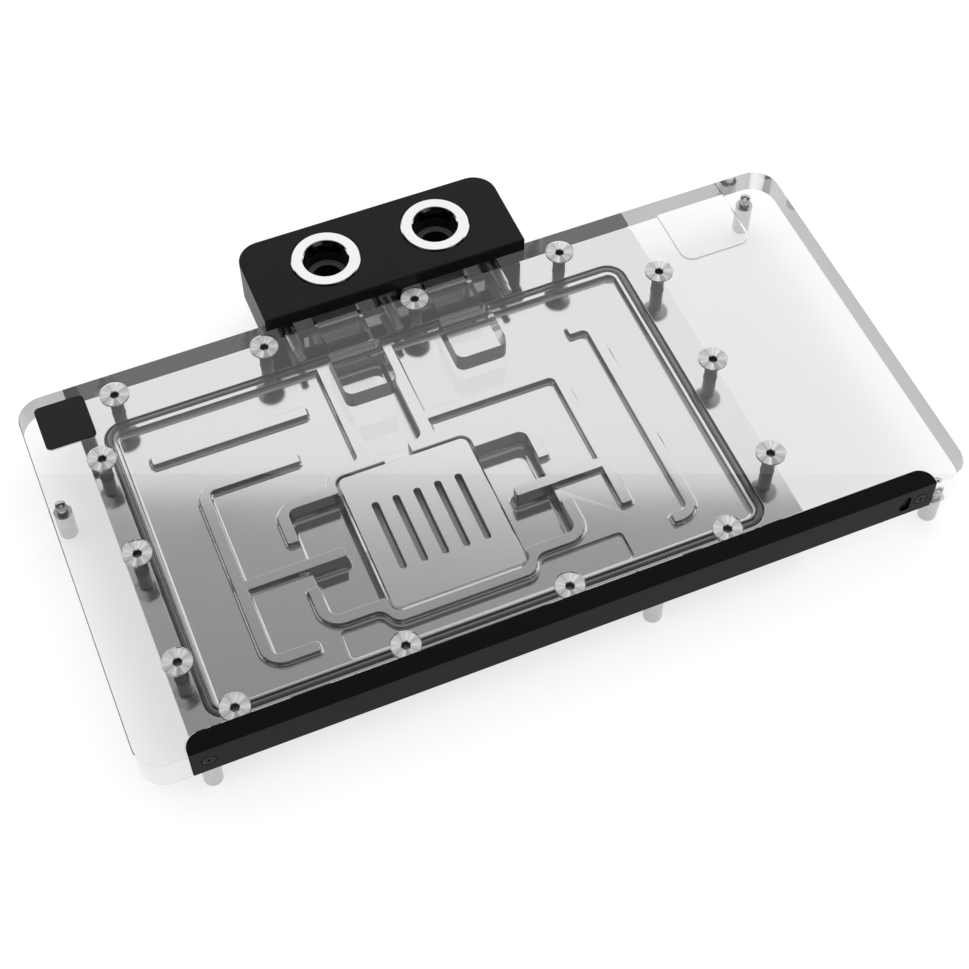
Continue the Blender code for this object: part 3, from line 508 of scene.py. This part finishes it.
bm = bmesh.new()
column(bm, POCKET_PATH, round_pit(POCKET_FLOOR, POCKET_BALL_R))
mill(plate, bm)
for outline in POCKET_STUBS:
    bm = bmesh.new()
    column(bm, outline, round_foot(POCKET_FLOOR, PLATE_TOP, POCKET_BALL_R, POCKET_FLOOR - 0.4))
    mill(plate, bm, "UNION")

# The jet plate has its seat over the fins, and a deep channel leads in to them from the port.
JET_SEAT_PATH = box_path(-21.1, 21.1, -24.35, 24.25, 3.3)
JET_SEAT_FLOOR = 7.6
FIN_COUNT = 55
FIN_PITCH = 0.65
FIN_THICK = 0.36
FIN_FRONT = -17.83
FIN_BACK = 17.63
FIN_ROOT = 2.1
FIN_FOOT = 2.8
FIN_TOP = 6.9
FIN_HALF = 19.6
INLET_PATH = box_path(-7.75, 8.55, 27.9, 63.3, 2.6)
bm = bmesh.new()
column(bm, JET_SEAT_PATH, [(0.0, JET_SEAT_FLOOR), (0.0, ABOVE_PLATE)])
mill(plate, bm)
fin_edge = [(FIN_FRONT, FIN_ROOT)]
for k in range(FIN_COUNT):
    y = FIN_FRONT + FIN_PITCH * k
    fin_edge += [(y, FIN_FOOT), (y, FIN_TOP), (y + FIN_THICK, FIN_TOP), (y + FIN_THICK, FIN_FOOT)]
del fin_edge[1], fin_edge[-1]
fin_edge.append((FIN_BACK, FIN_ROOT))
bm = bmesh.new()
loft(bm, [[(x, y, z) for y, z in fin_edge] for x in (-FIN_HALF, FIN_HALF)])
mill(plate, bm, "UNION")
bm = bmesh.new()
column(bm, INLET_PATH, round_pit(INLET_FLOOR, BALL_R))
mill(plate, bm)
bm = bmesh.new()
block(bm, -4.7, 3.8, 16.8, 29.4, 6.4, ABOVE_PLATE)
mill(plate, bm)

# The seal has a groove, and the cover screws have tapped holes round it. On the chip side are the
# contact, the pads and four threaded posts.
SEAL_PATH = box_path(-77.8, 89.3, -36.9, 66.9, 6.0)
SEAL_GROOVE = [(-2.25, 7.2), (0.3, 7.2), (0.3, ABOVE_PLATE), (-2.25, ABOVE_PLATE)]
SEAL_STEPS = 16
BACK_ROW = [(x, 70.9) for x in (-71.0, -24.9, 23.1, 71.1)]
FRONT_ROW = [(x, -39.7) for x in (-70.9, -22.9, 25.1, 73.1)]
LEFT_ROW = [(-80.7, y) for y in (-21.0, 15.8, 50.3)]
RIGHT_ROW = [(96.1, y) for y in (-21.4, 15.4, 52.2)]
SCREW_PLACES = BACK_ROW + FRONT_ROW + LEFT_ROW + RIGHT_ROW
CHIP_PATH = box_path(-17.0, 17.0, -19.0, 19.0, 1.0)
PAD_PATHS = [
    box_path(-34.0, -24.0, -22.0, 22.0, 1.0), box_path(24.0, 34.0, -22.0, 22.0, 1.0),
    box_path(-48.0, -40.0, -28.0, 46.0, 1.0), box_path(40.0, 48.0, -28.0, 46.0, 1.0),
    box_path(-20.0, 20.0, 25.0, 35.0, 1.0)]
POST_PLACES = [(x, y) for x in (-35.0, 35.0) for y in (-30.0, 30.0)]
POST_FOOT = -2.2
TAP_DEPTH = 5.0
bm = bmesh.new()
column(bm, SEAL_PATH, SEAL_GROOVE, SEAL_STEPS, closed=True)
for x, y in SCREW_PLACES:
    turned(bm, x, y, [(2.0, PLATE_TOP - TAP_DEPTH), (2.0, ABOVE_PLATE)], 32)
mill(plate, bm)
bm = bmesh.new()
column(bm, CHIP_PATH, [(0.0, 0.0), (0.0, 1.5)])
for path in PAD_PATHS:
    column(bm, path, [(0.0, 0.4), (0.0, 1.5)])
for x, y in POST_PLACES:
    turned(bm, x, y, [(3.0, POST_FOOT), (3.0, 1.5)], 32)
mill(plate, bm, "UNION")
bm = bmesh.new()
for x, y in POST_PLACES:
    turned(bm, x, y, [(1.25, POST_FOOT - 1.0), (1.25, 1.6)], 24)
mill(plate, bm)

# Outside the seat of the jet plate, the upright walls are painted darker than the flats: painted
# shade in the base colour, standing in for the dark they mirror from each other.
SEAT_HALF_X = 0.0214
SEAT_HALF_Y = 0.0247
nickel, start = new_finish("nickel plate")
place = start.own_place()
cloud = place.noise(45.0, 4.0)
grain = place.noise(2600.0, 3.0)
passes = start.node("ShaderNodeTexWave", {"bands_direction": "X", "wave_profile": "SAW"}, {
    "Vector": place, "Scale": 160.0, "Distortion": 0.6, "Detail": 2.0, "Detail Scale": 3.0})
upright = start.node("ShaderNodeNewGeometry", {}, {}, "True Normal").part("Z")
# Painted shade: the base colour falls to 0.4 on upright walls.
painted_wall_shade = upright.ramp((0.25, 0.4), (0.6, 1.0))
outside_seat = abs(place.part("X")).above(SEAT_HALF_X).higher(abs(place.part("Y")).above(SEAT_HALF_Y))
tint = start.node("ShaderNodeMix", {"data_type": "RGBA", "blend_type": "MULTIPLY"}, {
    0: outside_seat, 6: cloud.between(grey(0.79), grey(0.81)), 7: painted_wall_shade}, 2)
metal = start.node("ShaderNodeBsdfPrincipled", {}, {
    "Base Color": tint, "Metallic": 1.0, "Roughness": cloud * 0.05 + grain * 0.03 + 0.06,
    "Normal": passes.relief(0.02, 0.00002)})
close_finish(nickel, metal)
dressed(plate, nickel, EDGE_BREAK)
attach(plate, "root")
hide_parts("cold_plate")


# The jet plate is a thin nickel plated sheet that lies flush over the fins. Its rim slopes down to
# its seat, and coolant is forced through its five slots.
JET_PATH = box_path(-20.8, 20.8, -24.05, 24.05, 3.0)
JET_RIM = [(0.0, 7.85), (0.0, 8.0), (-0.5, 8.5), (-0.55, 8.6), (-0.83, 9.03), (-0.88, 9.05)]
SLOT_COUNT = 5
SLOT_PITCH = 6.4
SLOT_HALF_WIDE = 1.1
SLOT_HALF_LONG = 12.0
bm = bmesh.new()
column(bm, JET_PATH, JET_RIM, 12)
jets = machined("jet_plate_sheet", bm)
bm = bmesh.new()
for k in range(SLOT_COUNT):
    x = (k - SLOT_COUNT // 2) * SLOT_PITCH
    slot = box_path(x - SLOT_HALF_WIDE, x + SLOT_HALF_WIDE, -SLOT_HALF_LONG, SLOT_HALF_LONG, 1.08)
    column(bm, slot, [(0.0, 6.8), (0.0, 10.0)], 10)
mill(jets, bm)
satin, start = new_finish("satin nickel")
place = start.own_place()
grain = place.noise(3400.0, 4.0)
tint = place.noise(60.0, 3.0).between(grey(0.9), grey(0.94))
metal = start.node("ShaderNodeBsdfPrincipled", {}, {
    "Base Color": tint, "Metallic": 1.0, "Roughness": grain * 0.05 + 0.15,
    "Normal": grain.relief(0.15, 0.00003)})
close_finish(satin, metal)
dressed(jets, satin, 0.03)
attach(jets, "root")
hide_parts("jet_plate")


# The chamber seal is one cord of black rubber. It is pressed into the groove round the channels,
# and the cover squeezes it flat by a hair.
CORD_SIDES = 16
CORD_MIDDLE = (-0.975, 8.25)
CORD_HALF = (0.97, 0.8)
seal_section = []
for k in range(CORD_SIDES):
    angle = 2 * pi * (k + 0.5) / CORD_SIDES
    seal_section.append((
        CORD_MIDDLE[0] + CORD_HALF[0] * cos(angle), CORD_MIDDLE[1] + CORD_HALF[1] * sin(angle)))
bm = bmesh.new()
column(bm, SEAL_PATH, seal_section, SEAL_STEPS, closed=True)
seal = machined("chamber_seal_cord", bm)
rubber, start = new_finish("seal rubber")
grain = start.own_place().noise(1800.0, 5.0)
skin = start.node("ShaderNodeBsdfPrincipled", {}, {
    "Base Color": grain.between(grey(0.02), grey(0.04)), "Roughness": grain * 0.2 + 0.2,
    "Specular IOR Level": 0.7, "Coat Weight": 1.0, "Coat Roughness": 0.08, "Coat IOR": 1.9,
    "Normal": grain.relief(0.2, 0.00004)})
close_finish(rubber, skin)
dressed(seal, rubber, sharp=60.0)
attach(seal, "root")
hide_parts("chamber_seal")


# The cover is one thick block of clear acrylic, flame polished. It carries the feed pockets and
# their tunnels to the ports, the screw holes, and the seats of the trim strip and badge plate.
COVER_FOOT = 9.4
COVER_TOP = 20.4
COVER_PATH = box_path(-99.5, 146.5, -49.0, 78.5, 8.0)
BELOW_COVER = COVER_FOOT - 1.0
ABOVE_COVER = COVER_TOP + 1.0
FEED_X = (-0.1, 35.3)
FEED_HALF = 8.1
FEED_FRONT = 45.7
FEED_BACK = 62.6
FEED_HEIGHT = 8.2
TUNNEL_HALF = 7.0
TUNNEL_LOW = 12.8
TUNNEL_HIGH = 17.4
SCREW_SEAT = [(1.9, BELOW_COVER), (1.9, 17.95), (4.1, 19.86), (4.4, 19.87), (4.4, ABOVE_COVER)]
bm = bmesh.new()
column(bm, COVER_PATH, [(0.0, COVER_FOOT), (0.0, COVER_TOP - 0.3), (-0.3, COVER_TOP)], 16)
cover = machined("acrylic_cover", bm)
bm = bmesh.new()
for x in FEED_X:
    feed = [
        (x - FEED_HALF, FEED_FRONT, 2.6), (x + FEED_HALF, FEED_FRONT, 2.6),
        (x + FEED_HALF, FEED_BACK, 1.0), (x - FEED_HALF, FEED_BACK, 1.0)]
    column(bm, feed, [(0.0, BELOW_COVER), (0.0, COVER_FOOT + FEED_HEIGHT)], 10)
mill(cover, bm)
bm = bmesh.new()
for x in FEED_X:
    block(bm, x - TUNNEL_HALF, x + TUNNEL_HALF, 61.1, 79.5, TUNNEL_LOW, TUNNEL_HIGH)
mill(cover, bm)
bm = bmesh.new()
for x, y in SCREW_PLACES:
    turned(bm, x, y, SCREW_SEAT, 64)
mill(cover, bm)


def turned_along(bm, x, z, profile, steps=32):
    """A turned solid on an axis along Y, from (radius, y) points."""
    rings = [[(px, y, 2 * z - pz) for px, pz in disc(x, z, radius, steps)] for radius, y in profile]
    loft(bm, rings)


# Blind holes take the inserts of the standoffs, and the long screws from behind. A shallow recess
# below is open to the back, and the badge plate and the trim strip have their seats above.
STANDOFF_PLACES = ((-95.9, 43.2), (136.9, 72.9), (-81.4, -45.8), (48.7, -45.8), (137.7, -45.8))
TERMINAL_SCREW_X = (-15.2, 15.9, 51.5)
TERMINAL_SCREW_Z = 14.9
TRIM_SCREW_X = (-81.7, 130.3)
TRIM_SCREW_Z = 14.8
TRIM_LEFT = -86.8
TRIM_RIGHT = 134.8
TRIM_SEAT_FLOOR = 19.7
BADGE_PATH = box_path(-94.4, -79.6, 58.6, 74.4, 1.6)
RECESS_PATH = box_path(108.7, 132.0, 57.9, 85.0, 4.0)
bm = bmesh.new()
for x, y in STANDOFF_PLACES:
    turned(bm, x, y, [(1.55, BELOW_COVER), (1.55, 13.1), (0.4, 13.9)], 32)
for x in TERMINAL_SCREW_X:
    turned_along(bm, x, TERMINAL_SCREW_Z, [(1.4, 65.2), (1.4, 68.2), (1.8, 68.5), (1.8, 79.5)])
column(bm, RECESS_PATH, [(0.0, BELOW_COVER), (0.0, 10.6), (-0.2, 10.8)], 12)
column(bm, BADGE_PATH, [(0.04, 19.65), (0.04, ABOVE_COVER)], 10)
mill(cover, bm)
bm = bmesh.new()
trim_seat = [
    (TRIM_LEFT, -51.0, 0.2), (TRIM_RIGHT, -51.0, 0.2),
    (TRIM_RIGHT, -42.7, 4.8), (TRIM_LEFT, -42.7, 4.8)]
column(bm, trim_seat, [(0.0, TRIM_SEAT_FLOOR), (0.0, ABOVE_COVER)], 12)
mill(cover, bm)
bm = bmesh.new()
block(bm, TRIM_LEFT, TRIM_RIGHT, -50.0, -47.8, BELOW_COVER, COVER_TOP - 0.1)
mill(cover, bm)

# The light strip lies in a groove behind the trim, with a pocket for its cable socket.
bm = bmesh.new()
block(bm, -73.5, 118.5, -48.3, -44.4, 16.8, 20.1)
for x in TRIM_SCREW_X:
    turned_along(bm, x, TRIM_SCREW_Z, [(1.3, -49.5), (1.3, -41.6)])
mill(cover, bm)
bm = bmesh.new()
block(bm, 117.5, 127.6, -48.3, -44.9, 10.8, 20.0)
mill(cover, bm)


def pane(start, level):
    """A thin clear wall that lets this share of the light through."""
    return start.node("ShaderNodeBsdfTransparent", {}, {"Color": grey(level)})


clear, start = new_finish("clear acrylic")
place = start.own_place()
haze = place.noise(900.0, 3.0)
inner_side = start.node("ShaderNodeNewGeometry", {}, {}, "Backfacing")
acrylic = start.node("ShaderNodeBsdfPrincipled", {}, {
    "Base Color": (0.96, 0.963, 0.963, 1.0), "Roughness": haze * 0.01, "IOR": 1.2,
    "Transmission Weight": 1.0, "Specular Tint": grey(0.75), "Coat Weight": 1.0 - inner_side,
    "Coat Roughness": 0.01, "Coat IOR": 1.7, "Normal": place.noise(14.0, 2.0).relief(0.02, 0.0005)})
# Shadows pass the acrylic as a thin veil. A mirrored ray passes a clean wall where it has come
# through the cover, and a gray one elsewhere.
CLEAN_WALL = 0.97
GRAY_WALL = 0.57
SHADOW_VEIL = 0.9
crossed = start.ray("Transmission Depth").above(1.5).higher(start.ray("Glossy Depth").above(1.5))
mirrored = start.ray("Glossy Depth").above(0.5)
body = mirrored.blend(acrylic, crossed.blend(pane(start, GRAY_WALL), pane(start, CLEAN_WALL)))
body = start.ray("Is Shadow Ray").blend(body, pane(start, SHADOW_VEIL))

# Painted reflection: the chamfer of the left end and, more faintly, the lower front edge are painted
# dark, standing in for the dark they would mirror where they turn the eye away from the white of the
# room.
RIM_RIGHT = -0.0965
RIM_FRONT = -0.043
RIM_LOW = 0.02012
RIM_HIGH = 0.02038
FOOT_BACK = -0.041
FOOT_LOW = 0.00942
FOOT_HIGH = 0.0096
x, y, z = (place.part(axis) for axis in "XYZ")
painted_rim_reflection = (1.0 - x.above(RIM_RIGHT)) * y.above(RIM_FRONT) * z.above(RIM_LOW) * (1.0 - z.above(RIM_HIGH))
painted_foot_reflection = (1.0 - y.above(FOOT_BACK)) * (1.0 - z.above(FOOT_HIGH)) * z.above(FOOT_LOW) * 0.4
# This dark finish is a painted reflection, not a colour of the acrylic.
painted_dark_reflection = start.node("ShaderNodeBsdfPrincipled", {}, {
    "Base Color": grey(0.03), "Roughness": haze * 0.1 + 0.1})
close_finish(clear, (painted_rim_reflection * 0.85 + painted_foot_reflection).blend(body, painted_dark_reflection))
dressed(cover, clear, sharp=30.0)
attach(cover, "root")
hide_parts("clear_cover")


# Fourteen countersunk screws clamp the cover. Their heads are faced on a lathe, which leaves fine
# rings, and each has a hexagon socket. The wedges in which the rings catch the light are painted
# highlights in the base colour of the head.
COVER_SCREW = [(1.95, 4.8), (1.95, 17.9), (4.14, 19.84), (4.2, 19.9), (4.2, 20.12), (4.12, 20.2)]
COVER_SCREW_SOCKET = [(1.45, 18.6), (1.45, 20.05), (1.75, 20.4)]
HEAD_FACE_Z = 0.01975
steel, start = new_finish("turned steel")
place = start.own_place()
x, y, height = (place.part(axis) for axis in "XYZ")
radius = (x * x + y * y) ** 0.5
wobble = place.noise(500.0, 2.0)
rings = (radius * 52000.0 + wobble * 1.5).sine()
head = height.above(HEAD_FACE_Z)
# Painted highlights: wedges of lighter colour round each head.
painted_wedge_highlights = place.spoke().noise(1.25, 3.0, Roughness=0.6).ramp((0.38, 0.42), (0.5, 0.75), (0.6, 1.0))
# Painted shade: the shank below the head is painted dark grey.
metal = start.node("ShaderNodeBsdfPrincipled", {}, {
    "Base Color": head.between(grey(0.3), painted_wedge_highlights), "Metallic": 1.0 - head * 0.45,
    "Roughness": head * 0.25 + wobble * 0.06 + 0.25, "Anisotropic": 1.0,
    "Normal": rings.relief(0.25, 0.00001)})
close_finish(steel, metal)
for number, (x, y) in enumerate(SCREW_PLACES, 1):
    bm = bmesh.new()
    turned(bm, 0.0, 0.0, COVER_SCREW, 64)
    screw = machined(f"cover_screw_part_{number:02d}", bm)
    bm = bmesh.new()
    turned(bm, 0.0, 0.0, COVER_SCREW_SOCKET, 6)
    mill(screw, bm)
    screw.location = (x * MM, y * MM, 0.0)
    dressed(screw, steel)
    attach(screw, "root")
    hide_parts(f"cover_screw_{number:02d}")


# Five turned standoffs carry the cover off the circuit board. Each has a stud that screws into a
# plated insert in the acrylic.
STANDOFF = [
    (1.9, -2.2), (2.6, -1.5), (2.7, -1.35), (2.7, 8.9), (2.55, 9.1),
    (1.0, 9.1), (1.0, 12.2), (0.7, 12.5)]
INSERT = [
    (1.6, 9.5), (1.6, 10.9), (1.45, 11.0), (1.45, 11.5), (1.6, 11.6),
    (1.6, 13.2), (1.3, 13.2), (1.3, 9.5)]
plated, start = new_finish("plated brass")
place = start.own_place()
grain = place.noise(1500.0, 3.0)
rings = (place.part("Z") * 30000.0).sine()
metal = start.node("ShaderNodeBsdfPrincipled", {}, {
    "Base Color": grain.between(grey(0.5), (0.58, 0.58, 0.57, 1.0)), "Metallic": 1.0,
    "Roughness": grain * 0.1 + 0.22, "Normal": (rings + grain).relief(0.06, 0.00001)})
close_finish(plated, metal)
for number, (x, y) in enumerate(STANDOFF_PLACES, 1):
    bm = bmesh.new()
    turned(bm, x, y, STANDOFF, 48)
    standoff = machined(f"standoff_part_{number}", bm)
    dressed(standoff, plated)
    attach(standoff, "root")
    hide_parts(f"standoff_{number}")
    bm = bmesh.new()
    turned(bm, x, y, INSERT, 32, closed=True)
    insert = machined(f"insert_part_{number}", bm)
    dressed(insert, plated)
    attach(insert, "root")
    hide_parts(f"threaded_insert_{number}")


# The terminal is one block of satin black acetal behind the cover. A cross channel joins each of
# its two threaded ports to a tunnel in the acrylic.
PORT_PLACES = ((2.5, 91.7), (38.2, 91.7))
PORT_BORE = [(6.58, 17.4), (6.58, 21.1), (8.0, 21.1), (8.0, 24.5), (10.9, 24.5), (10.9, 26.4)]
TERMINAL_PATH = [(-22.5, 75.6, 0.5), (61.5, 75.6, 0.5), (61.5, 106.4, 7.5), (-22.5, 106.4, 7.5)]
bm = bmesh.new()
column(bm, TERMINAL_PATH, [
    (-0.3, 10.0), (0.0, 10.3), (0.0, 24.9), (-0.07, 25.15), (-0.25, 25.33), (-0.5, 25.4)], 16)
terminal = machined("terminal_body", bm)
bm = bmesh.new()
block(bm, -23.5, 62.5, 74.6, 78.8, 9.0, 20.7)
mill(terminal, bm)
bm = bmesh.new()
for x, y in PORT_PLACES:
    turned(bm, x, y, PORT_BORE, 72)
for x in TERMINAL_SCREW_X:
    turned_along(bm, x, TERMINAL_SCREW_Z, [(1.8, 77.8), (1.8, 102.7), (3.1, 102.7), (3.1, 107.4)])
mill(terminal, bm)
bm = bmesh.new()
for x, y in PORT_PLACES:
    turned(bm, x, y, [(4.6, 12.2), (4.6, 17.9)], 48)
mill(terminal, bm)
bm = bmesh.new()
for x0, x1 in ((-7.1, 7.1), (28.3, 42.8)):
    block(bm, x0, x1, 77.8, 91.7, TUNNEL_LOW, 17.3)
mill(terminal, bm)


def mouth_ring(bm, x, grow, width, y0, y1):
    """A rounded band round a tunnel mouth, in the plane of the joint."""
    path = box_path(
        x - TUNNEL_HALF - grow, x + TUNNEL_HALF + grow, TUNNEL_LOW - grow, TUNNEL_HIGH + grow, 1.0)
    section = [(0.0, y0), (width, y0), (width, y1), (0.0, y1)]
    rings = [[(px, y, pz) for px, pz in corner_path(path, out, 6)] for out, y in section]
    loft(bm, rings, closed=True)


bm = bmesh.new()
for x in FEED_X:
    mouth_ring(bm, x, 0.3, 1.8, 77.8, 79.8)
mill(terminal, bm)

# Inside the ports the stop face is painted paler than the body, and the cross channels are painted
# bright: painted light, standing in for the light that reaches these deep places. Each band is given
# by its middle and its reach.
PORTS_X = (0.0195, 0.03)
STOP_FACE_Z = (0.0174, 0.00006)
STOP_FACE_Y = (0.0917, 0.007)
CHANNEL_Z = (0.01505, 0.0024)
CHANNEL_Y = (0.0848, 0.0062)
acetal, start = new_finish("black acetal")
place = start.own_place()
grain = place.noise(2200.0, 4.0)
cloud = place.noise(70.0, 3.0)
x, y, z = (place.part(axis) for axis in "XYZ")
within = x.near(*PORTS_X)
# Painted light: a paler stop face and bright cross channels in the base colour.
painted_pale_stop_face = within * z.near(*STOP_FACE_Z) * y.near(*STOP_FACE_Y)
painted_bright_channel = within * z.near(*CHANNEL_Z) * y.near(*CHANNEL_Y)
tint = painted_pale_stop_face.between(cloud.between(grey(0.006), grey(0.01)), grey(0.1))
plastic = start.node("ShaderNodeBsdfPrincipled", {}, {
    "Base Color": painted_bright_channel.between(tint, grey(0.7)), "Roughness": cloud * 0.06 + grain * 0.06 + 0.3,
    "Specular IOR Level": 0.13, "Normal": grain.relief(0.12, 0.00003)})
close_finish(acetal, plastic)
dressed(terminal, acetal)
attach(terminal, "root")
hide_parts("terminal_block")
for number, x in enumerate(FEED_X, 1):
    bm = bmesh.new()
    mouth_ring(bm, x, 0.6, 1.2, 78.8, 79.5)
    gasket = machined(f"port_gasket_{number}", bm)
    dressed(gasket, rubber)
    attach(gasket, "root")
    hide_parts(f"port_seal_{number}")


# Three long cap screws pull the terminal against the cover from behind. They are zinc plated, and
# their dull shanks show through the acrylic.
TERMINAL_SCREW = [
    (1.1, 65.6), (1.1, 68.5), (1.5, 68.8), (1.5, 103.0), (2.8, 103.0), (2.8, 105.3), (2.5, 105.6)]
TERMINAL_SCREW_SOCKET = [(1.3, 104.2), (1.3, 107.4)]
zinc, start = new_finish("zinc plate")
grain = start.own_place().noise(700.0, 3.0)
metal = start.node("ShaderNodeBsdfPrincipled", {}, {
    "Base Color": grain.between(grey(0.3), grey(0.38)), "Metallic": 1.0,
    "Roughness": grain * 0.15 + 0.45})
close_finish(zinc, metal)
for number, x in enumerate(TERMINAL_SCREW_X, 1):
    bm = bmesh.new()
    turned_along(bm, 0.0, 0.0, TERMINAL_SCREW, 48)
    screw = machined(f"terminal_screw_part_{number}", bm)
    bm = bmesh.new()
    turned_along(bm, 0.0, 0.0, TERMINAL_SCREW_SOCKET, 6)
    mill(screw, bm)
    screw.location = (x * MM, 0.0, TERMINAL_SCREW_Z * MM)
    dressed(screw, zinc)
    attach(screw, "root")
    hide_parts(f"terminal_screw_{number}")


# Each port is lined by a turned and chromed collar, pressed into the terminal. Its wide flange takes
# the wear of the fitting, and its mouth is painted dark, a painted shade, with painted glints on the
# chamfer.
COLLAR = [
    (6.68, 21.4), (7.7, 21.4), (7.7, 24.8), (10.6, 24.8), (10.6, 25.5), (10.3, 25.8), (7.5, 25.8),
    (7.2, 25.68), (6.85, 25.3), (6.68, 24.7)]
CHAMFER_LOW = 0.0247
CHAMFER_HIGH = 0.02565
chrome, start = new_finish("satin chrome")
place = start.own_place()
grain = place.noise(2800.0, 4.0)
height = place.part("Z")
# Painted glints on the chamfer and painted shade below it, in the base colour.
painted_glints = place.spoke().noise(1.9, 1.0).ramp((0.42, 0.03), (0.52, 0.9))
painted_dark_mouth = height.above(CHAMFER_LOW).between(grey(0.03), painted_glints)
tint = height.above(CHAMFER_HIGH).between(painted_dark_mouth, grain.between(grey(0.86), grey(0.93)))
metal = start.node("ShaderNodeBsdfPrincipled", {}, {
    "Base Color": tint, "Metallic": 1.0, "Roughness": grain * 0.05 + 0.09,
    "Normal": grain.relief(0.08, 0.00002)})
close_finish(chrome, metal)
for number, (x, y) in enumerate(PORT_PLACES, 1):
    bm = bmesh.new()
    turned(bm, 0.0, 0.0, COLLAR, 96, closed=True)
    collar = machined(f"port_collar_part_{number}", bm)
    collar.location = (x * MM, y * MM, 0.0)
    dressed(collar, chrome, sharp=25.0)
    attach(collar, "root")
    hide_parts(f"port_collar_{number}")


# The trim strip is a folded aluminium angle with a fine black coat. It covers the light strip and
# the front row of screw heads just reaches under its edge.
TRIM_PATH = [(-86.5, -49.0, 0.2), (134.5, -49.0, 0.2), (134.5, -43.0, 4.5), (-86.5, -43.0, 4.5)]
SOCKET_SLOT = box_path(123.8, 127.0, 11.6, 18.0, 1.2)
bm = bmesh.new()
column(bm, TRIM_PATH, [(0.0, 9.4), (0.0, 20.6), (-0.07, 20.8), (-0.25, 20.9)], 14)
trim = machined("trim_angle", bm)
bm = bmesh.new()
block(bm, -87.5, 135.5, -48.1, -42.0, 8.4, 20.0)
mill(trim, bm)
bm = bmesh.new()
for x in TRIM_SCREW_X:
    turned_along(bm, x, TRIM_SCREW_Z, [(2.2, -50.0), (2.2, -48.9), (1.3, -48.15), (1.3, -47.0)], 40)
loft(bm, [[(px, y, pz) for px, pz in corner_path(SOCKET_SLOT)] for y in (-50.0, -47.0)])
for x, y in FRONT_ROW:
    turned(bm, x, y, [(4.5, 19.0), (4.5, 20.5)], 40)
mill(trim, bm)
coat, start = new_finish("black coat")
place = start.own_place()
grain = place.noise(4200.0, 4.0)
cloud = place.noise(40.0, 3.0)
paint = start.node("ShaderNodeBsdfPrincipled", {}, {
    "Base Color": grain.between(grey(0.002), grey(0.006)),
    "Roughness": cloud * 0.06 + grain * 0.06 + 0.3, "Specular IOR Level": 0.06,
    "Normal": grain.relief(0.25, 0.00003)})
close_finish(coat, paint)
dressed(trim, coat)
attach(trim, "root")
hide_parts("trim_strip")


# Two small screws of blackened steel hold the trim strip at its ends. They are turned, and the
# cross of each head is cut with two strokes.
TRIM_SCREW = [(1.7, -49.05), (1.88, -48.98), (1.9, -48.9), (1.0, -48.1), (1.0, -42.05)]
oxide, start = new_finish("black oxide steel")
grain = start.own_place().noise(1900.0, 4.0)
metal = start.node("ShaderNodeBsdfPrincipled", {}, {
    "Base Color": grain.between(grey(0.008), grey(0.02)), "Metallic": 0.2,
    "Roughness": grain * 0.15 + 0.4, "Specular IOR Level": 0.15})
close_finish(oxide, metal)
for number, x in enumerate(TRIM_SCREW_X, 1):
    bm = bmesh.new()
    turned_along(bm, x, TRIM_SCREW_Z, TRIM_SCREW, 40)
    screw = machined(f"trim_screw_part_{number}", bm)
    for across, up in ((1.0, 0.2), (0.2, 1.0)):
        bm = bmesh.new()
        block(bm, x - across, x + across, -50.0, -48.5, TRIM_SCREW_Z - up, TRIM_SCREW_Z + up)
        mill(screw, bm)
    dressed(screw, oxide)
    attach(screw, "root")
    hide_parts(f"trim_screw_{number}")


# The light strip is a thin black circuit board with twelve small lamps, hidden under the trim. Its
# cable socket is soldered to the right end and looks out through a slot in the trim.
BOARD_LEFT = -73.0
BOARD_RIGHT = 118.0
BOARD_TOP = 17.7
LAMP_COUNT = 12
LAMP_LEVELS = [(0.0, 17.6), (0.0, 18.35), (-0.1, 18.5)]
LAMP_FOOT_Z = 0.01775
bm = bmesh.new()
block(bm, BOARD_LEFT, BOARD_RIGHT, -47.5, -44.7, 17.1, BOARD_TOP)
strip = machined("light_board", bm)
bm = bmesh.new()
for k in range(LAMP_COUNT):
    x = BOARD_LEFT + (k + 0.5) * (BOARD_RIGHT - BOARD_LEFT) / LAMP_COUNT
    column(bm, box_path(x - 1.0, x + 1.0, -46.9, -45.3, 0.2), LAMP_LEVELS, 3)
mill(strip, bm, "UNION")
bm = bmesh.new()
block(bm, 117.8, 127.3, -47.5, -45.2, 11.1, 17.9)
block(bm, 121.8, 127.9, -48.05, -47.4, 9.6, 17.8)
mill(strip, bm, "UNION")
board, start = new_finish("light board")
place = start.own_place()
lamp_mask = place.part("Z").above(LAMP_FOOT_Z)
weave = place.noise(1200.0, 3.0)
resin = start.node("ShaderNodeBsdfPrincipled", {}, {
    "Base Color": lamp_mask.between(grey(0.004), (0.8, 0.79, 0.72, 1.0)),
    "Roughness": weave * 0.1 + 0.4, "Specular IOR Level": 0.15})
close_finish(board, resin)
dressed(strip, board)
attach(strip, "root")
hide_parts("light_strip")


# The badge plate is a small square of black coated metal, left bare. It is glued into its recess
# at the back left corner of the cover.
BADGE_LEVELS = [(0.0, 19.7), (0.0, 20.55), (-0.06, 20.65), (-0.18, 20.7)]
bm = bmesh.new()
column(bm, BADGE_PATH, BADGE_LEVELS, 10)
badge = machined("badge_blank", bm)
enamel, start = new_finish("badge coat")
grain = start.own_place().noise(3000.0, 4.0)
paint = start.node("ShaderNodeBsdfPrincipled", {}, {
    "Base Color": grain.between(grey(0.004), grey(0.012)), "Roughness": grain * 0.12 + 0.4,
    "Specular IOR Level": 0.25, "Normal": grain.relief(0.2, 0.00003)})
close_finish(enamel, paint)
dressed(badge, enamel)
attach(badge, "root")
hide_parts("badge_plate")
